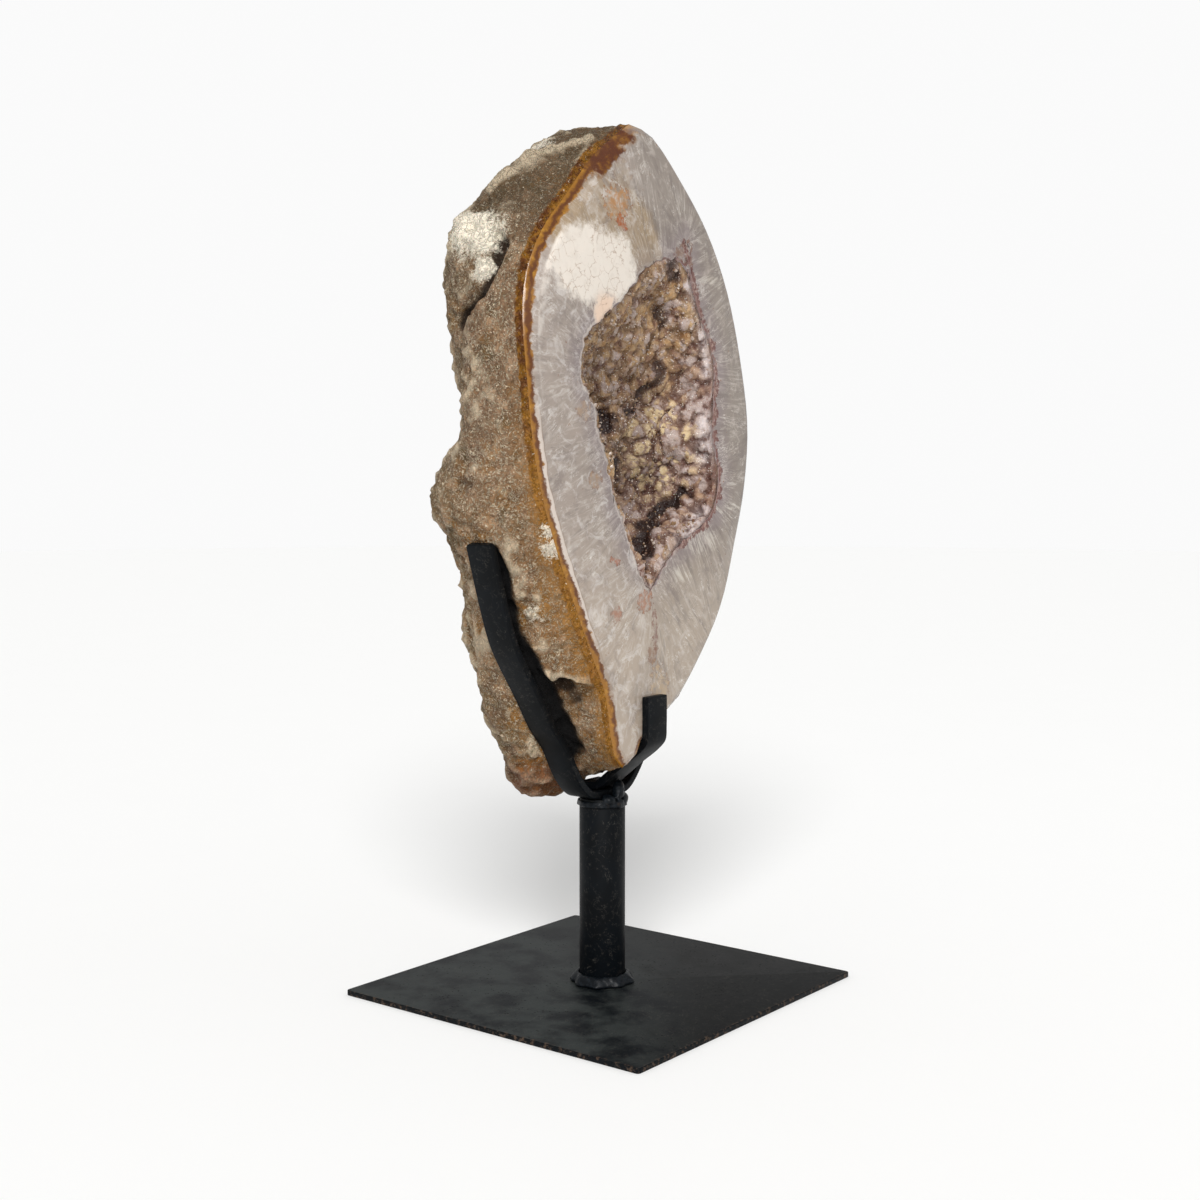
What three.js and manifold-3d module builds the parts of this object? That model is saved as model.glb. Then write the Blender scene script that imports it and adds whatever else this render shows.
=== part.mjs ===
import * as THREE from 'three';
import { mergeVertices } from 'three/addons/utils/BufferGeometryUtils.js';
import Module from 'manifold-3d';

// Half of an agate geode, cut and polished on its front, held upright by a welded steel stand.
// Millimetres. +Z is up, the polished face looks to -Y, and the origin is under the middle of the plate.

// Clearance between pieces that touch
const GAP = 0.3;

// Stand: a thin square plate, a round post, and flat bar bent round the stone
const PLATE = { side: 150, thick: 2.2, corner: 1.6, edge: 0.3 };
const POST = { radius: 9.5, top: 80.2, sides: 48 };
const BAR = { width: 12.7, thick: 3, edge: 0.4 };
const STRAP_Y = 2;
const STRAP_STEPS = 18;
const PRONG_STEPS = 16;
// Section of a weld bead, as shares of its width and rise
const BEAD_PROFILE = [[0, 0], [1, 0], [0.76, 0.33], [0.4, 0.74], [0, 1], [0, 0]];
const FOOT_WELD = { radius: 13.6, low: PLATE.thick + GAP, rise: 4.6, lump: 0.7, sides: 40 };
// The weld at the top is a thin ring, with blobs (x, y, height, radius) run up the front to the prong
const HEAD_WELD = {
  radius: 10.7, low: 76.5, rise: 3.6, lump: 0.25, sides: 24, ballSides: 8, ballRings: 5,
  blobs: [[-1, -8.3, 78.5, 2.9], [4, -7.4, 80, 3], [-5, -7, 80.2, 3], [0.5, -7.8, 82.6, 3.1], [1.2, -7.4, 85.6, 2.8]],
};

// Outer face of the strap from the post to the tip of its right arm, as x and height; the left arm mirrors it
const STRAP_ARM = [
  [0, 80.5], [12.3, 81.6], [21.3, 89.8], [29.4, 103.1], [37.1, 112.1], [45.6, 125.1],
  [57.2, 141.9], [61.6, 150], [67.2, 165.7], [73.8, 186.9],
];

// Outer face of the front prong from its tip down to its foot on the strap, as y and height
const PRONG_LINE = [
  [-28.3, 124.3], [-28.3, 112], [-27.8, 105.8], [-24.4, 101.8], [-16.6, 95.8], [-8, 88.9], [-2.5, 84.6], [2.5, 83.8],
  [7, 83.8],
];

// Polished face: a flat that leans back a little
const FACE = { lowY: -25, lowZ: 112, highY: -20, highZ: 352, dome: 0.8, domeFromZ: 135, domeToZ: 170 };
// Ground bevel round the face, narrow on the right, wider on the left and widest at the upper left
const BEVEL = {
  right: { width: 1.5, depth: 0.8 }, left: { width: 2.4, depth: 2 }, upperLeft: { width: 3.5, depth: 2.6 },
  leftFrom: 10, leftTo: -30, upperFrom: 250, upperTo: 290,
};

// Outlines of the stone from its top to its bottom, down the right side and up the left, as x and height
const RIM = {
  right: [
    [-6, 350.5], [6, 348], [26, 333], [46, 313], [60, 290], [70, 260], [74.6, 233], [71, 206], [63, 183],
    [52, 157], [36, 137], [19, 121], [5, 114], [-6, 107], [-11, 100], [-17.5, 97],
  ],
  left: [
    [-17.5, 97], [-21.5, 101], [-24.5, 112], [-27, 127], [-34.5, 142], [-45.5, 164], [-58.5, 192], [-66.5, 217],
    [-70.5, 246], [-71.3, 268], [-67, 288], [-57, 305], [-44, 318], [-26, 336], [-6, 350.5],
  ],
};
const GIRTH = {
  right: [
    [0, 353], [24, 344], [46, 324], [63, 298], [72, 268], [74.6, 236], [73.6, 210], [69, 187], [62.5, 166],
    [52, 142], [41, 125], [32, 112], [24, 102], [12, 92], [-4, 88.5],
  ],
  left: [
    [-4, 88.5], [-16, 94], [-25, 103.5], [-32.5, 112], [-41, 125], [-52.5, 142], [-63, 166], [-69.4, 187],
    [-74, 214], [-74.6, 250], [-74.6, 284], [-69, 306], [-52, 325], [-28, 344], [0, 353],
  ],
};
const SHOULDER = {
  right: [
    [10, 350], [34, 334], [52, 308], [63, 278], [66, 248], [64, 214], [60, 185], [53, 158], [43, 132],
    [30, 110], [17, 91], [-2, 79],
  ],
  left: [
    [-2, 79], [-14, 79.5], [-24, 87], [-33, 101], [-42, 115], [-47, 134], [-49, 158], [-57, 180], [-69, 198],
    [-71, 208], [-66, 218], [-55, 226], [-57, 248], [-62, 268], [-62, 300], [-52, 315], [-31, 333], [-12, 347], [10, 350],
  ],
};
const BACK = {
  right: [[6, 336], [26, 318], [40, 290], [46, 255], [46, 220], [42, 180], [34, 146], [20, 112], [0, 92]],
  left: [
    [0, 92], [-12, 99], [-24, 116], [-31, 140], [-35, 168], [-48, 192], [-50, 210], [-38, 230], [-42, 262],
    [-44, 296], [-30, 320], [6, 336],
  ],
};
const GIRTH_Y = 2;
const SHOULDER_Y = 24;
const BACK_Y = 38;
const BACK_POLE = [2, 47, 215];

// Mouth of the hollow in the polished face, and the bottom of the hollow
const MOUTH = {
  right: [
    [20, 301], [28, 298], [38, 280], [48, 262], [48, 244], [47, 228], [51, 214], [48, 200], [38, 192],
    [20, 183], [8, 173], [1, 166],
  ],
  left: [
    [1, 166], [-7, 175], [-13, 188], [-20, 200], [-25, 216], [-31, 229], [-33, 239], [-41, 250], [-39, 264],
    [-28, 274], [-12, 284], [4, 297], [20, 301],
  ],
};
const HOLLOW = { pole: [4, 14, 214], wallScale: 0.9, wallDepth: 0.5, floorScale: 0.55, floorDepth: 0.9 };
const HOLLOW_SHALLOW = { fromZ: 225, toZ: 300, share: 0.5 };

// Rough rind: lumps of two sizes, raised away from a line through the heart of the stone,
// then single features as place, radius and height (a dent is negative)
const RIND = {
  coarse: 30, coarseHeight: 3, fine: 12, fineHeight: 2.2, calmRings: 3,
  heartY: -8, heartLowZ: 150, heartHighZ: 300, reach: PLATE.side / 2 - 0.2,
};
const RELIEF = [
  { at: [-66, 16, 305], radius: 10, height: 3.5 },
  { at: [-71, 24, 205], radius: 13, height: 3 },
  { at: [-30, 26, 330], radius: 12, height: 1 },
  { at: [-20, 30, 84], radius: 12, height: 2 },
  { at: [-37, -12, 136], radius: 7, height: -5 },
  { at: [-31, -12, 120], radius: 12, height: -3 },
  { at: [-44, -12, 146], radius: 8, height: 2 },
  { at: [48, 34, 250], radius: 18, height: 5 },
  { at: [30, 40, 150], radius: 16, height: 4 },
  { at: [0, 46, 285], radius: 20, height: 4 },
  { at: [-10, 46, 240], radius: 14, height: -4 },
];
// Crevices and the edges of ledges, as lines with a radius and height
const SEAMS = [
  { from: [-73, -8, 308], to: [-73, 18, 266], radius: 4.5, height: -4.5 },
  { from: [-66, -12, 300], to: [-48, 12, 332], radius: 5, height: 3 },
  { from: [-62, 4, 322], to: [-24, 18, 346], radius: 5, height: -3 },
  { from: [-74, -6, 262], to: [-72, 6, 200], radius: 6, height: 2 },
  { from: [-46, -16, 138], to: [-30, 0, 131], radius: 5, height: 3 },
  { from: [-40, 40, 300], to: [30, 44, 262], radius: 6, height: -3.5 },
  { from: [-36, 40, 150], to: [24, 42, 196], radius: 7, height: 4 },
  { from: [60, 4, 300], to: [68, 22, 220], radius: 6, height: -3 },
  { from: [40, 8, 326], to: [4, 30, 344], radius: 6, height: 2.5 },
  { from: [58, 14, 180], to: [24, 26, 108], radius: 6, height: 3 },
];

// Crystal crust that lines the hollow
const CRUST = {
  back: 1.1, edge: 2, thick: 4, lump: 9, lumpHeight: 3.4, recess: 0.6, heartLowZ: 195, heartHighZ: 265,
  bulge: { at: [16, 2, 226], radius: 16, height: 9 },
};

// Counts of facets
const AROUND = 92;
const ROUGH_RINGS = 20;
const FACE_RINGS = 2;
const HOLLOW_RINGS = 6;
const CRUST_AROUND = 60;
const CRUST_RINGS = 9;

const STEEL = new THREE.MeshStandardMaterial({ color: 0x191b1d, roughness: 0.5, metalness: 0.7 });
const WELD = new THREE.MeshStandardMaterial({ color: 0x1d1e22, roughness: 0.38, metalness: 0.8 });
const AGATE = new THREE.MeshStandardMaterial({ color: 0xbdb2a8, roughness: 0.2, metalness: 0 });
const CRYSTAL = new THREE.MeshStandardMaterial({ color: 0x9a7c60, roughness: 0.35, metalness: 0 });

const wasm = await Module();
wasm.setup();

// Small maths

const smooth = (low, high, value) => THREE.MathUtils.smoothstep(value, low, high);

function hash(x, y, z) {
  const wave = Math.sin(x * 127.1 + y * 311.7 + z * 74.7) * 43758.5453;
  return 2 * (wave - Math.floor(wave)) - 1;
}

// Smooth random value between -1 and 1, with one lump to each step of the lattice
function lumps(point, size) {
  const cell = point.clone().divideScalar(size);
  const base = cell.clone().floor();
  const part = cell.sub(base);
  const ease = [part.x, part.y, part.z].map((t) => t * t * (3 - 2 * t));
  let sum = 0;
  for (let corner = 0; corner < 8; corner += 1) {
    const step = [corner & 1, (corner >> 1) & 1, corner >> 2];
    const weight = step.reduce((product, s, axis) => product * (s ? ease[axis] : 1 - ease[axis]), 1);
    sum += weight * hash(base.x + step[0], base.y + step[1], base.z + step[2]);
  }
  return sum;
}

// Solids

function asManifold(geometry) {
  const bare = geometry.clone();
  bare.deleteAttribute('normal');
  bare.deleteAttribute('uv');
  const merged = mergeVertices(bare, 1e-4);
  return new wasm.Manifold(new wasm.Mesh({
    numProp: 3,
    vertProperties: new Float32Array(merged.attributes.position.array),
    triVerts: new Uint32Array(merged.index.array),
  }));
}

function asGeometry(manifold) {
  const mesh = manifold.getMesh();
  const geometry = new THREE.BufferGeometry();
  geometry.setAttribute('position', new THREE.BufferAttribute(mesh.vertProperties, 3));
  geometry.setIndex(new THREE.BufferAttribute(mesh.triVerts, 1));
  geometry.computeVertexNormals();
  return geometry;
}

// Closed skin through rings of points that start and end in a pole
function skin(rings) {
  const around = rings[1].length;
  const geometry = new THREE.SphereGeometry(1, around, rings.length - 1);
  const position = geometry.attributes.position;
  rings.forEach((ring, row) => {
    for (let k = 0; k <= around; k += 1) {
      const point = ring[k % ring.length];
      position.setXYZ(row * (around + 1) + k, point.x, point.y, point.z);
    }
  });
  geometry.deleteAttribute('normal');
  geometry.deleteAttribute('uv');
  const closed = mergeVertices(geometry, 1e-4);
  closed.computeVertexNormals();
  return closed;
}

// Closed outline as points in order, evenly spaced down the right side and up the left
function outline({ right, left }, count) {
  const half = (points) => new THREE.CatmullRomCurve3(points.map(([x, z]) => new THREE.Vector3(x, 0, z)))
    .getSpacedPoints(count / 2).slice(0, -1);
  return [...half(right), ...half(left)];
}

const atDepth = (points, y) => points.map((p) => new THREE.Vector3(p.x, y, p.z));

function faceY(z) {
  return THREE.MathUtils.mapLinear(z, FACE.lowZ, FACE.highZ, FACE.lowY, FACE.highY);
}

const onFace = (points, behind) => points.map((p) => new THREE.Vector3(p.x, faceY(p.z) + behind, p.z));

function bevelAt(point) {
  const leftShare = smooth(BEVEL.leftTo, BEVEL.leftFrom, point.x);
  const upperShare = (1 - leftShare) * smooth(BEVEL.upperFrom, BEVEL.upperTo, point.z);
  const mix = (key) => THREE.MathUtils.lerp(BEVEL.left[key], BEVEL.right[key], leftShare)
    + upperShare * BEVEL.upperLeft[key];
  return { width: mix('width'), depth: mix('depth') };
}

function distanceToLine(point, from, to) {
  const line = new THREE.Line3(new THREE.Vector3(...from), new THREE.Vector3(...to));
  return line.closestPointToPoint(point, true, new THREE.Vector3()).distanceTo(point);
}

function rindHeight(point) {
  let height = RIND.coarseHeight * lumps(point, RIND.coarse) + RIND.fineHeight * lumps(point, RIND.fine);
  for (const { at, radius, height: rise } of RELIEF) {
    const away = point.distanceTo(new THREE.Vector3(...at)) / radius;
    height += rise * Math.exp(-away * away);
  }
  for (const { from, to, radius, height: rise } of SEAMS) {
    const away = distanceToLine(point, from, to) / radius;
    height += rise * Math.exp(-away * away);
  }
  return height;
}

// Stone: rings from the middle of the back, round the rind, over the rim and the face, into the hollow

function rindRings() {
  const pole = new THREE.Vector3(...BACK_POLE);
  const rim = outline(RIM, AROUND).map((p) => new THREE.Vector3(p.x, faceY(p.z) + bevelAt(p).depth, p.z));
  const girth = atDepth(outline(GIRTH, AROUND), GIRTH_Y);
  const shoulder = atDepth(outline(SHOULDER, AROUND), SHOULDER_Y);
  const back = atDepth(outline(BACK, AROUND), BACK_Y);
  const columns = rim.map((_, k) => new THREE.CatmullRomCurve3([pole, back[k], shoulder[k], girth[k], rim[k]])
    .getSpacedPoints(ROUGH_RINGS));
  const rings = [];
  for (let row = 1; row <= ROUGH_RINGS; row += 1) {
    const calm = smooth(0, RIND.calmRings, ROUGH_RINGS - row);
    rings.push(columns.map((column) => {
      const point = column[row];
      const heartZ = THREE.MathUtils.clamp(point.z, RIND.heartLowZ, RIND.heartHighZ);
      const out = point.clone().sub(new THREE.Vector3(0, RIND.heartY, heartZ)).normalize();
      const moved = point.clone().addScaledVector(out, calm * rindHeight(point));
      moved.x = THREE.MathUtils.clamp(moved.x, -RIND.reach, RIND.reach);
      return moved;
    }));
  }
  return [[pole], ...rings];
}

function faceRings(rim, mouth) {
  const rings = [];
  const bevelled = rim.map((point, k) => {
    const inward = mouth[k].clone().sub(point).setY(0).normalize();
    const corner = point.clone().addScaledVector(inward, bevelAt(point).width);
    return corner.setY(faceY(corner.z));
  });
  for (let row = 0; row <= FACE_RINGS; row += 1) {
    const share = row / (FACE_RINGS + 1);
    rings.push(bevelled.map((point, k) => {
      const flat = point.clone().lerp(mouth[k], share);
      const dome = FACE.dome * Math.sin(Math.PI * share) * smooth(FACE.domeFromZ, FACE.domeToZ, flat.z);
      return flat.setY(faceY(flat.z) - dome);
    }));
  }
  return rings;
}

// Wall of the hollow from its mouth, which a crust can start behind, to its bottom
function hollowColumns(count, recess = 0) {
  const pole = new THREE.Vector3(...HOLLOW.pole);
  const depthAt = (z) => (pole.y - faceY(z))
    * (1 - HOLLOW_SHALLOW.share * smooth(HOLLOW_SHALLOW.fromZ, HOLLOW_SHALLOW.toZ, z));
  const inward = (point, scale, depth) => {
    const x = THREE.MathUtils.lerp(pole.x, point.x, scale);
    const z = THREE.MathUtils.lerp(pole.z, point.z, scale);
    return new THREE.Vector3(x, faceY(z) + depth * depthAt(z), z);
  };
  return onFace(outline(MOUTH, count), recess).map((mouth) => new THREE.CatmullRomCurve3([
    mouth,
    inward(mouth, HOLLOW.wallScale, HOLLOW.wallDepth),
    inward(mouth, HOLLOW.floorScale, HOLLOW.floorDepth),
    pole,
  ]));
}

function stoneGeometry() {
  const rind = rindRings();
  const hollow = hollowColumns(AROUND).map((column) => column.getSpacedPoints(HOLLOW_RINGS));
  const mouth = hollow.map((column) => column[0]);
  const inside = [];
  for (let row = 0; row < HOLLOW_RINGS; row += 1) inside.push(hollow.map((column) => column[row]));
  return skin([...rind, ...faceRings(rind[ROUGH_RINGS], mouth), ...inside, [new THREE.Vector3(...HOLLOW.pole)]]);
}

// Crust: a lumpy front, and a back that follows the wall of the hollow

function crustGeometry() {
  const walls = hollowColumns(CRUST_AROUND, CRUST.recess).map((column) => column.getSpacedPoints(CRUST_RINGS));
  const pole = new THREE.Vector3(...HOLLOW.pole);
  const heart = new THREE.Vector3(pole.x, faceY(pole.z), pole.z);
  const inside = (point, away) => {
    const heartZ = THREE.MathUtils.clamp(point.z, CRUST.heartLowZ, CRUST.heartHighZ);
    const inward = heart.clone().setZ(heartZ).sub(point).normalize();
    return point.clone().addScaledVector(inward, away);
  };
  const bulge = (point) => {
    const away = point.distanceTo(new THREE.Vector3(...CRUST.bulge.at)) / CRUST.bulge.radius;
    return CRUST.bulge.height * Math.exp(-away * away);
  };
  const front = [];
  const back = [];
  for (let row = 0; row < CRUST_RINGS; row += 1) {
    const edge = smooth(0, 1.5, row);
    front.push(walls.map((column) => {
      const point = column[row];
      const lump = CRUST.lumpHeight * Math.abs(lumps(point, CRUST.lump));
      return inside(point, CRUST.edge + edge * (CRUST.thick - CRUST.edge + lump + bulge(point)));
    }));
    back.push(walls.map((column) => inside(column[row], CRUST.back)));
  }
  const bottom = inside(pole, CRUST.thick + bulge(pole));
  return skin([[inside(pole, CRUST.back)], ...back.reverse(), ...front, [bottom]]);
}

// Stand

// Flat bar bent along a line: the line is its outer face, and thick points to the side it hugs
function bentBar(line, { width, thick, edge }, grow) {
  const outer = [];
  const inner = [];
  line.forEach((point, k) => {
    const before = line[Math.max(k - 1, 0)];
    const after = line[Math.min(k + 1, line.length - 1)];
    const along = after.clone().sub(before).normalize();
    const side = new THREE.Vector2(-along.y, along.x);
    outer.push(point.clone().addScaledVector(side, -grow));
    inner.push(point.clone().addScaledVector(side, thick + grow));
  });
  const lengthen = (points) => {
    const last = points.length - 1;
    points[0].addScaledVector(points[1].clone().sub(points[0]).normalize(), -grow);
    points[last].addScaledVector(points[last - 1].clone().sub(points[last]).normalize(), -grow);
  };
  if (grow > 0) [outer, inner].forEach(lengthen);
  const shape = new THREE.Shape([...outer, ...inner.reverse()]);
  const geometry = new THREE.ExtrudeGeometry(shape, {
    depth: width + 2 * grow - 2 * edge,
    bevelEnabled: true,
    bevelSegments: 1,
    bevelSize: edge,
    bevelThickness: edge,
    bevelOffset: -edge,
  });
  geometry.translate(0, 0, edge - width / 2 - grow);
  return geometry;
}

const spline = (points, steps) => new THREE.CatmullRomCurve3(points.map(([a, b]) => new THREE.Vector3(a, b, 0)))
  .getSpacedPoints(steps).map((p) => new THREE.Vector2(p.x, p.y));

function strapGeometry(grow = 0) {
  const arm = spline(STRAP_ARM, STRAP_STEPS);
  const leftArm = arm.slice(1).reverse().map((p) => new THREE.Vector2(-p.x, p.y));
  const geometry = bentBar([...leftArm, ...arm], BAR, grow);
  geometry.rotateX(Math.PI / 2);
  geometry.translate(0, STRAP_Y, 0);
  return geometry;
}

function prongGeometry(grow = 0) {
  const geometry = bentBar(spline(PRONG_LINE, PRONG_STEPS), BAR, grow);
  geometry.rotateX(Math.PI / 2);
  geometry.rotateZ(Math.PI / 2);
  return geometry;
}

function postGeometry(grow = 0) {
  const bottom = PLATE.thick + GAP - grow;
  const top = POST.top + grow;
  const geometry = new THREE.CylinderGeometry(POST.radius + grow, POST.radius + grow, top - bottom, POST.sides);
  geometry.rotateX(Math.PI / 2);
  geometry.translate(0, 0, (top + bottom) / 2);
  return geometry;
}

function plateGeometry() {
  const half = PLATE.side / 2 - PLATE.corner;
  const shape = new THREE.Shape();
  shape.absarc(half, half, PLATE.corner, 0, Math.PI / 2);
  shape.absarc(-half, half, PLATE.corner, Math.PI / 2, Math.PI);
  shape.absarc(-half, -half, PLATE.corner, Math.PI, Math.PI * 1.5);
  shape.absarc(half, -half, PLATE.corner, Math.PI * 1.5, Math.PI * 2);
  const geometry = new THREE.ExtrudeGeometry(shape, {
    depth: PLATE.thick - 2 * PLATE.edge,
    curveSegments: 4,
    bevelEnabled: true,
    bevelSegments: 1,
    bevelSize: PLATE.edge,
    bevelThickness: PLATE.edge,
    bevelOffset: -PLATE.edge,
  });
  geometry.translate(0, 0, PLATE.edge);
  return geometry;
}

// Bead of weld round the post, in overlapping lumps
function beadGeometry({ radius: outer, low, rise, lump, sides }) {
  const inner = POST.radius + GAP;
  const width = outer - inner;
  const profile = BEAD_PROFILE.map(([across, up]) => new THREE.Vector2(inner + across * width, low + up * rise));
  const geometry = new THREE.LatheGeometry(profile, sides);
  geometry.rotateX(Math.PI / 2);
  const position = geometry.attributes.position;
  for (let k = 0; k < position.count; k += 1) {
    const point = new THREE.Vector3().fromBufferAttribute(position, k);
    const radius = Math.hypot(point.x, point.y);
    const angle = Math.atan2(point.y, point.x);
    const share = (radius - inner) / width;
    const swell = 1 + share * lump * (Math.sin(9 * angle) + 0.6 * Math.sin(4 * angle + 1)) / radius;
    position.setXY(k, point.x * swell, point.y * swell);
  }
  return geometry;
}

// Weld that joins the strap and the prong to the top of the post, cut clear of all three
function topWeldGeometry() {
  const ring = asManifold(beadGeometry(HEAD_WELD));
  const balls = HEAD_WELD.blobs.map(([x, y, z, radius]) => {
    const ball = new THREE.SphereGeometry(radius, HEAD_WELD.ballSides, HEAD_WELD.ballRings);
    ball.translate(x, y, z);
    return asManifold(ball);
  });
  const mass = balls.reduce((whole, ball) => whole.add(ball), ring);
  const clear = [postGeometry(GAP), strapGeometry(GAP), prongGeometry(GAP)].map(asManifold);
  const cut = clear.reduce((whole, piece) => whole.subtract(piece), mass);
  const parts = cut.decompose().sort((a, b) => b.volume() - a.volume());
  return asGeometry(parts[0]);
}

// The stone is cut clear of the strap and the prong where it rests on them
function seatedStone() {
  const clear = [strapGeometry(GAP), prongGeometry(GAP)].map(asManifold);
  const seated = clear.reduce((whole, piece) => whole.subtract(piece), asManifold(stoneGeometry()));
  const parts = seated.decompose().sort((a, b) => b.volume() - a.volume());
  return asGeometry(parts[0]);
}

const group = new THREE.Group();

function addMesh(name, geometry, material) {
  const mesh = new THREE.Mesh(geometry, material);
  mesh.name = name;
  group.add(mesh);
}

addMesh('agate', seatedStone(), AGATE);
addMesh('crystal_crust', crustGeometry(), CRYSTAL);
addMesh('base_plate', plateGeometry(), STEEL);
addMesh('post', postGeometry(), STEEL);
addMesh('strap', strapGeometry(), STEEL);
addMesh('front_prong', prongGeometry(), STEEL);
addMesh('foot_weld', beadGeometry(FOOT_WELD), WELD);
addMesh('top_weld', topWeldGeometry(), WELD);

export default group;
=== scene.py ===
"""Half of an agate geode with a polished face, held upright on a welded steel stand."""

import math
import random

import bmesh
import bpy
import numpy as np
from bpy.props import FloatProperty, FloatVectorProperty, IntProperty, PointerProperty
from mathutils import Matrix, Vector, noise
from mathutils.bvhtree import BVHTree


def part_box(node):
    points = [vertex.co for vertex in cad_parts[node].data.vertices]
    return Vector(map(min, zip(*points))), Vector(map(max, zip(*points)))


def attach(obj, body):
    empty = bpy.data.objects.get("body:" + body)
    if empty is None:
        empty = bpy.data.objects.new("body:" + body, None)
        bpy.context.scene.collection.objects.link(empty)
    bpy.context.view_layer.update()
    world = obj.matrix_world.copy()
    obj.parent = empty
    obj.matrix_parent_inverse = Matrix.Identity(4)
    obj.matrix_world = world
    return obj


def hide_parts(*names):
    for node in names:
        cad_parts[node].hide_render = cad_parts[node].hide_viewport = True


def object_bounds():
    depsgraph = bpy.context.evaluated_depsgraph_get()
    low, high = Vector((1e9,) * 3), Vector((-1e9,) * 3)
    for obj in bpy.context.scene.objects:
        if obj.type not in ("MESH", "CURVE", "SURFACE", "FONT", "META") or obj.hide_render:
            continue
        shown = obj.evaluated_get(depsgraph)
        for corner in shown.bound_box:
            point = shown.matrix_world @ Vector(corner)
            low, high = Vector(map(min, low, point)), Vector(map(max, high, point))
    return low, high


bl_info = {
    "name": "Agate Geode on a Stand",
    "version": (1, 0, 0),
    "blender": (4, 5, 0),
    "location": "View3D > Sidebar > Agate",
    "description": "Dresses half of an agate geode and its welded steel stand",
    "category": "Object",
}

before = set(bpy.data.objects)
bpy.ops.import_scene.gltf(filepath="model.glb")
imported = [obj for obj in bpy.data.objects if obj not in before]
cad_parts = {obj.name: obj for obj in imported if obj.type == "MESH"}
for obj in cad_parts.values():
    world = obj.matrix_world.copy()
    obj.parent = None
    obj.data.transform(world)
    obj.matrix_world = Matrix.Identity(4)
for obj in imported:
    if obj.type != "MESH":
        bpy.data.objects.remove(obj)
CAD_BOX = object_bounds()
MM = 0.001

# How often the edges that are too long are halved
HALVINGS = 3

# noise_vector takes its offsets from this seed, and from the clock where none is set
NOISE_SEED = 7
POINT_SEED = 7

# Marks of the stone's faces, which are also its material slots, and of the lining's faces
RIND, POLISHED, HOLLOW = range(3)
SHOWN, HIDDEN = range(2)

# Places on the stone are in millimetres: x to the right, y to the back, z up from under the plate

# The polished face is a flat that leans back a little: y at two heights
FACE_LOW = (-25, 112)
FACE_HIGH = (-20, 352)

# How far a polished triangle may be from that flat, and how far behind it the bevel reaches
FACE_TOLERANCE = 1.2
BEVEL_REACH = 7

# Mouth of the hollow in the polished face, as x and z
MOUTH = (
    (20, 303), (30, 300), (40, 281), (50, 263), (50, 244), (49, 228), (53, 214), (50, 199), (39, 190),
    (21, 181), (9, 171), (1, 163), (-9, 174), (-15, 187), (-22, 199), (-27, 216), (-33, 229), (-35, 239),
    (-43, 250), (-41, 266), (-29, 276), (-13, 286), (3, 299),
)

# What is behind the mouth and in front of this y is the wall of the hollow
HOLLOW_BACK = 20

# Open middle of the hollow: an upright line at this x and y, between two heights
HEART = (4, -22)
HEART_HEIGHTS = (195, 265)

# Crests and cracks of the rind, as points on the stone, a radius and a height
RIND_LINES = (
    ((
        (-62, 4, 316), (-58, 8, 320), (-53, 5, 325), (-49, 4, 329), (-40, 2, 334), (-32, -4, 338),
        (-22, -11, 343),
    ), 2.0, 2.6),
    (((-22, -11, 343), (-29, -14, 335), (-37, -15, 326)), 1.8, 1.4),
    ((
        (-47, -6, 138), (-42, -8, 135), (-40, -10, 136), (-35, -14, 134), (-32, -19, 133), (-31, -23, 138),
    ), 1.8, 3.0),
    ((
        (-68, -3, 303), (-68, -5, 299), (-72, -3, 289), (-73, 1, 281), (-66, 14, 274), (-66, 17, 270),
    ), 3.2, -6.0),
    (((-66, 12, 330), (-50, 16, 338), (-30, 22, 344)), 2.4, 2.0),
    (((-70, 20, 262), (-72, 16, 236), (-71, 22, 214)), 2.5, -2.4),
    (((-50, 28, 176), (-46, 30, 150), (-36, 26, 118)), 3.0, 1.8),
    (((60, 26, 300), (66, 20, 262), (62, 30, 224)), 3.0, -2.4),
    (((20, 42, 310), (36, 40, 262), (30, 42, 214)), 3.5, 2.4),
    (((-30, 42, 268), (-6, 46, 226), (10, 44, 176)), 3.0, -2.6),
)
RIND_DENTS = (
    ((-38, -10, 130.5), 4.2, -5.5), ((-33, -10, 123), 9, -2.6), ((-73, 14, 209), 3.5, -2.4),
    ((-54, -9, 161), 2.6, 2.2), ((-56, -12, 167), 2.0, 1.4), ((-57, -20, 185), 1.8, 1.4),
    ((-60, -20, 192), 1.7, 1.3), ((-70, 10, 304), 7, 1.6), ((-70, 2, 288), 3.5, 1.6),
    ((-52, 2, 320), 5, -2.2), ((-44, -4, 325), 4, -1.8),
    ((40, 36, 300), 7, -2.5), ((-2, 47, 200), 6, -2.0),
)

# The mesh is cut once more round the first so many of those lines, out to so many of their radii
FINE_LINES = 4
FINE_REACH = 1.4

# Shifts that keep two noises at one place apart
CRAG_SHIFT = Vector((31, 7, 3))
KNOB_SHIFT = Vector((3, 17, 9))

# The rind's relief fades in over this distance from the rim
RIM_CALM = 3

# The rind's mesh is smoothed so many times; nearer to the bars than this it stays as it is
RIND_SMOOTHING = 24
BAR_CONTACT = 0.7

# Lumps rise in full only away from the bars, and what comes near a bar is kept clear of it
BAR_CALM = (1, 5)
BAR_SEARCH = 3
BAR_CLEARANCE = 0.1

# Along the front of the strap's arm the rind is sunk in and painted near black as shadow: how far that
# reaches from the bar at a few heights
ARM_GAP_WIDTHS = ((84, 4.0), (100, 6.0), (125, 7.0), (150, 5.6), (175, 4.6), (186, 2.0))
ARM_GAP_DEPTH = 2.4

# The edge of the mouth is broken up from the second of these distances to the first, and to this depth
MOUTH_BAND = (3.2, 0.3)
MOUTH_DEPTH = 3

# The fibres of the agate spread from a line this far outside the mouth
FIBRE_ROOT = 14

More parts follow.
